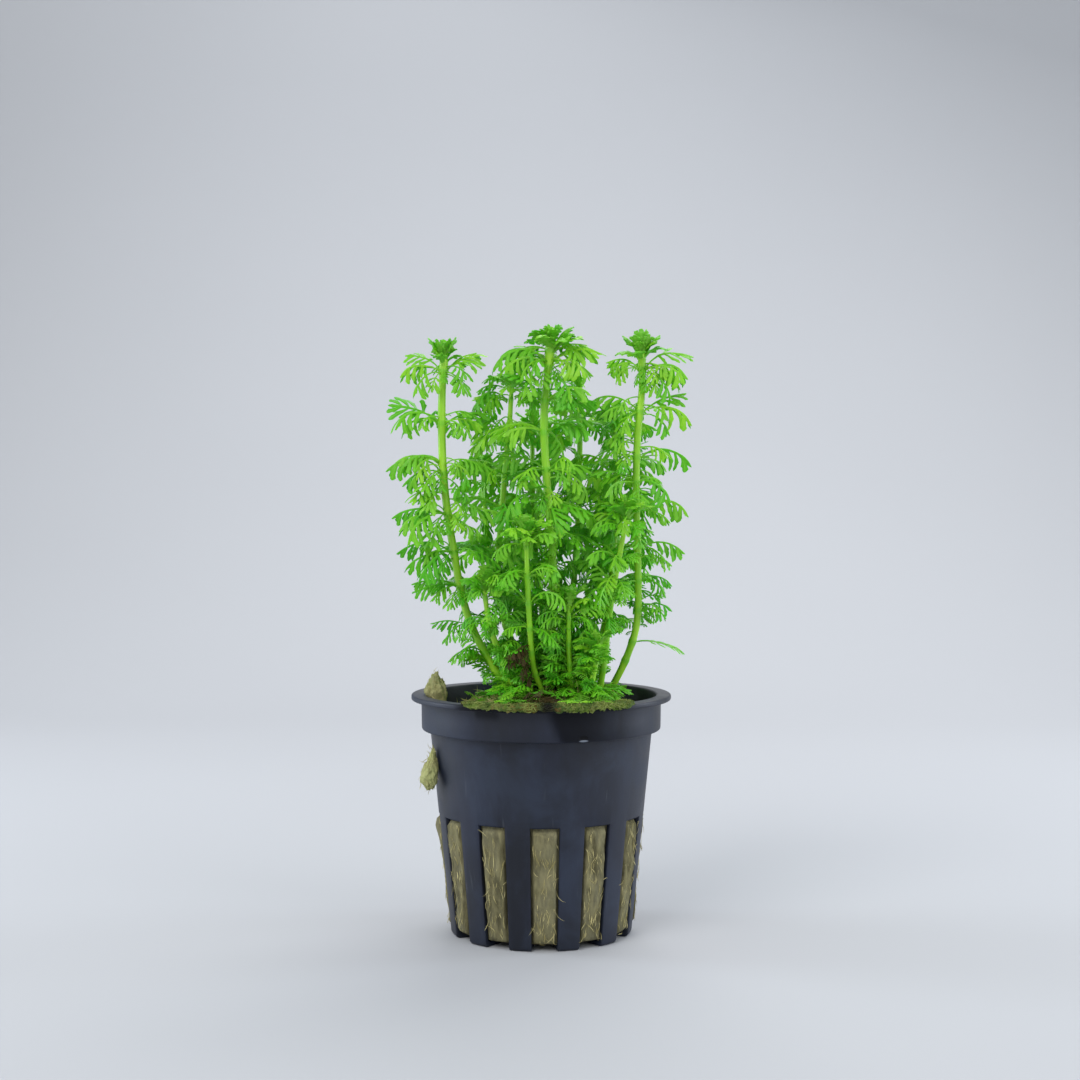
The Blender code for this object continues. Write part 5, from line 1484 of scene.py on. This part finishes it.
def shoot_stem(shoot, material):
    """The stem: a round stalk with fine ribs, a little thicker at each whorl and thinner at its tip."""
    points, top, _ = SHOOTS[shoot]
    rng = np.random.default_rng(1000 + sorted(SHOOTS).index(shoot))
    nodes = np.array(whorls_of(shoot, rng))
    tip = top - TIP_BELOW_TOP
    z = np.concatenate([[ROOT_Z], np.arange(ROOT_Z + 0.4, tip - 0.3, 0.7), [tip - 0.2, tip]])
    xy = through(points, np.maximum(z, points[0][2]))
    line = np.stack([xy[:, 0], xy[:, 1], z], 1)
    gap = z[:, None] - nodes[None]
    swell = np.exp(-((gap / np.where(gap > 0, 0.5, 0.9)) ** 2)).max(1)
    slim = np.interp(tip - z, [0.0, 0.2, 1.5, 12.0, 40.0], [0.25, 0.42, 0.6, 0.9, 1.0])
    if shoot in ("left_tall", "middle_tall", "right_tall"):
        # The feet of the crown's leaves wrap it
        slim = np.interp(tip - z, [0.0, 0.3, 1.2, 2.6, 6.0, 12.0], [0.3, 0.6, 1.1, 1.12, 0.94, 1.0])
    radius = STEM_RADIUS * STEM_WIDTH.get(shoot, 0.8) * slim * (1.0 + 0.2 * swell)
    sides = 14
    turn = 2 * math.pi * np.arange(sides) / sides
    ribs = 1.0 + 0.035 * np.cos(4 * turn + rng.uniform(0, 6.28))
    way = np.gradient(line, axis=0)
    way /= np.linalg.norm(way, axis=1, keepdims=True)
    a = np.cross(way, [0.0, 1.0, 0.0])
    a /= np.linalg.norm(a, axis=1, keepdims=True)
    b = np.cross(way, a)
    rings = (line[:, None] + (radius[:, None] * ribs)[..., None]
             * (np.cos(turn)[None, :, None] * a[:, None] + np.sin(turn)[None, :, None] * b[:, None]))
    m = len(z)
    verts = np.concatenate([rings.reshape(-1, 3), line[:1], line[-1:] + [[0, 0, 0.05]]])
    j = np.arange(sides)
    k = (j + 1) % sides
    tris = []
    for i in range(m - 1):
        p, q = i * sides, (i + 1) * sides
        tris += [np.stack([p + j, q + k, q + j], 1), np.stack([p + j, p + k, q + k], 1)]
    tris.append(np.stack([np.full(sides, m * sides), k, j], 1))
    tris.append(np.stack([np.full(sides, m * sides + 1), (m - 1) * sides + j, (m - 1) * sides + k], 1))
    attributes = {"node": np.concatenate([np.repeat(swell, sides), [0, 0]]),
                  "height": np.concatenate([np.repeat((z - 50.0) / 78.0, sides), [0, 1]]).clip(0, 1)}
    ob = mesh_object("stalk_" + shoot, verts, np.concatenate(tris), material, 60.0, attributes)
    outwards(ob)
    return ob


# ---------------------------------------------------------------------- stage
def build_stage():
    """A pale floor that curves up behind the object, soft lights and the camera."""
    look = Look("floor_pale", 0.8)
    cloud = look.noise(3.0, 2.0)
    pale = look.mix(cloud, srgb(174, 176, 180), srgb(180, 182, 186))
    look.shader.inputs["Specular IOR Level"].default_value = 0.1
    floor_mat = look.done(pale)
    profile = [(-900.0, 0.0), (350.0, 0.0)]
    for i in range(1, 17):
        a = math.pi / 2 * i / 16
        profile.append((350.0 + 350.0 * math.sin(a), 350.0 - 350.0 * math.cos(a)))
    profile.append((700.0, 1200.0))
    verts = [(x, y, z) for y, z in profile for x in (-1500.0, 1500.0)]
    tris = []
    for i in range(len(profile) - 1):
        a = 2 * i
        tris += [(a, a + 1, a + 3), (a, a + 3, a + 2)]
    floor = mesh_object("floor", verts, tris, floor_mat, 60.0)
    floor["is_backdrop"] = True

    def soft_box(name, place, at, width, height, power, colour):
        lamp = bpy.data.lights.new(name, "AREA")
        lamp.shape = "RECTANGLE"
        lamp.size, lamp.size_y = width, height
        lamp.energy = power
        lamp.color = colour
        ob = bpy.data.objects.new(name, lamp)
        ob.location = place
        ob.rotation_euler = (Vector(at) - Vector(place)).to_track_quat("-Z", "Y").to_euler()
        bpy.context.scene.collection.objects.link(ob)

    middle = (0.0, 0.0, 0.08)
    soft_box("key", (-0.42, -0.62, 0.62), middle, 0.5, 0.5, 4.2, (1.0, 0.99, 0.97))
    soft_box("fill", (0.62, -0.42, 0.3), middle, 0.5, 0.6, 1.8, (0.96, 0.98, 1.0))
    soft_box("back", (0.15, 0.45, 0.62), middle, 0.6, 0.3, 3.2, (1.0, 1.0, 1.0))
    # Tall boxes at both sides, a little behind, lighten the pot's edges
    soft_box("left_edge", (-0.5, 0.1, 0.14), (0.0, 0.0, 0.03), 0.16, 0.4, 1.5, (0.84, 0.92, 1.0))
    soft_box("right_edge", (0.5, 0.1, 0.14), (0.0, 0.0, 0.03), 0.16, 0.4, 1.2, (0.84, 0.92, 1.0))

    world = bpy.data.worlds.new("studio")
    world.use_nodes = True
    world.node_tree.nodes["Background"].inputs["Color"].default_value = (0.93, 0.96, 1.0, 1.0)
    world.node_tree.nodes["Background"].inputs["Strength"].default_value = 0.7
    bpy.context.scene.world = world

    camera = bpy.data.cameras.new("camera")
    camera.sensor_width = 36.0
    camera.angle = math.radians(34.4)
    camera.clip_start, camera.clip_end = 0.01, 10.0
    ob = bpy.data.objects.new("camera", camera)
    # Level with the middle of the plant but for a slight look down
    down = math.radians(1.2)
    ob.location = (-0.00025, -0.370 * math.cos(down), 0.083 + 0.370 * math.sin(down))
    ob.rotation_euler = (math.pi / 2 - down, 0.0, 0.0)
    bpy.context.scene.collection.objects.link(ob)
    bpy.context.scene.camera = ob
    bpy.context.scene.view_settings.view_transform = "Standard"


# ----------------------------------------------------------------------- main
def settle(ob, slot, *nodes):
    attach(ob, "root")
    if nodes:
        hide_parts(*nodes)


def main():
    build_stage()
    plastic, wool, strands = plastic_look(), wool_look(), fibre_look()
    green, stem_green = leaf_look(), stem_look()
    settle(build_pot(plastic), "pot_plastic", "net_pot")
    body, loose = build_wool(wool, strands)
    settle(body, "rockwool", "rockwool")
    settle(loose, "rockwool")
    settle(build_fringe(wool, strands), "rockwool")
    settle(build_lump("wool_tuft", np.array([-21.9, -3.7, 49.9]), (2.45, 2.9, 5.5), 10.0, 3, wool, strands, 150,
                      ([-1.0, 0.05, 0.25, 0.6, 0.85, 1.0], [0.85, 1.0, 1.16, 1.08, 0.92, 0.8]),
                      ([-1.0, 0.05, 0.3, 1.0], [0.0, 0.0, -0.35, 0.1], [0.0, 0.0, 0.0, 0.0]), 0.3),
           "rockwool", "rockwool_tuft")
    settle(build_lump("wool_flake", np.array([-23.45, -8.3, 35.6]), (1.9, 2.9, 4.9), 19.5, 8, wool, strands, 110,
                      ([-1.0, -0.4, 0.0, 0.5, 1.0], [1.1, 1.08, 0.92, 0.6, 0.34]),
                      ([-1.0, -0.4, 1.0], [0.35, 0.1, 1.1], [0.1, 0.0, 0.4]), 0.62),
           "rockwool", "rockwool_flake")
    patterns = make_patterns()
    for shoot in SHOOTS:
        settle(shoot_stem(shoot, stem_green), "stems", "stem_" + shoot)
        settle(shoot_leaves(shoot, patterns, green), "leaves", "leaves_" + shoot)
    settle(ground_leaves(patterns, green), "leaves")
    total = 0
    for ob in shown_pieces():
        count = len(ob.data.polygons)
        total += count
        print("PIECE", ob.name, count)
    print("TRIANGLES", total)


main()
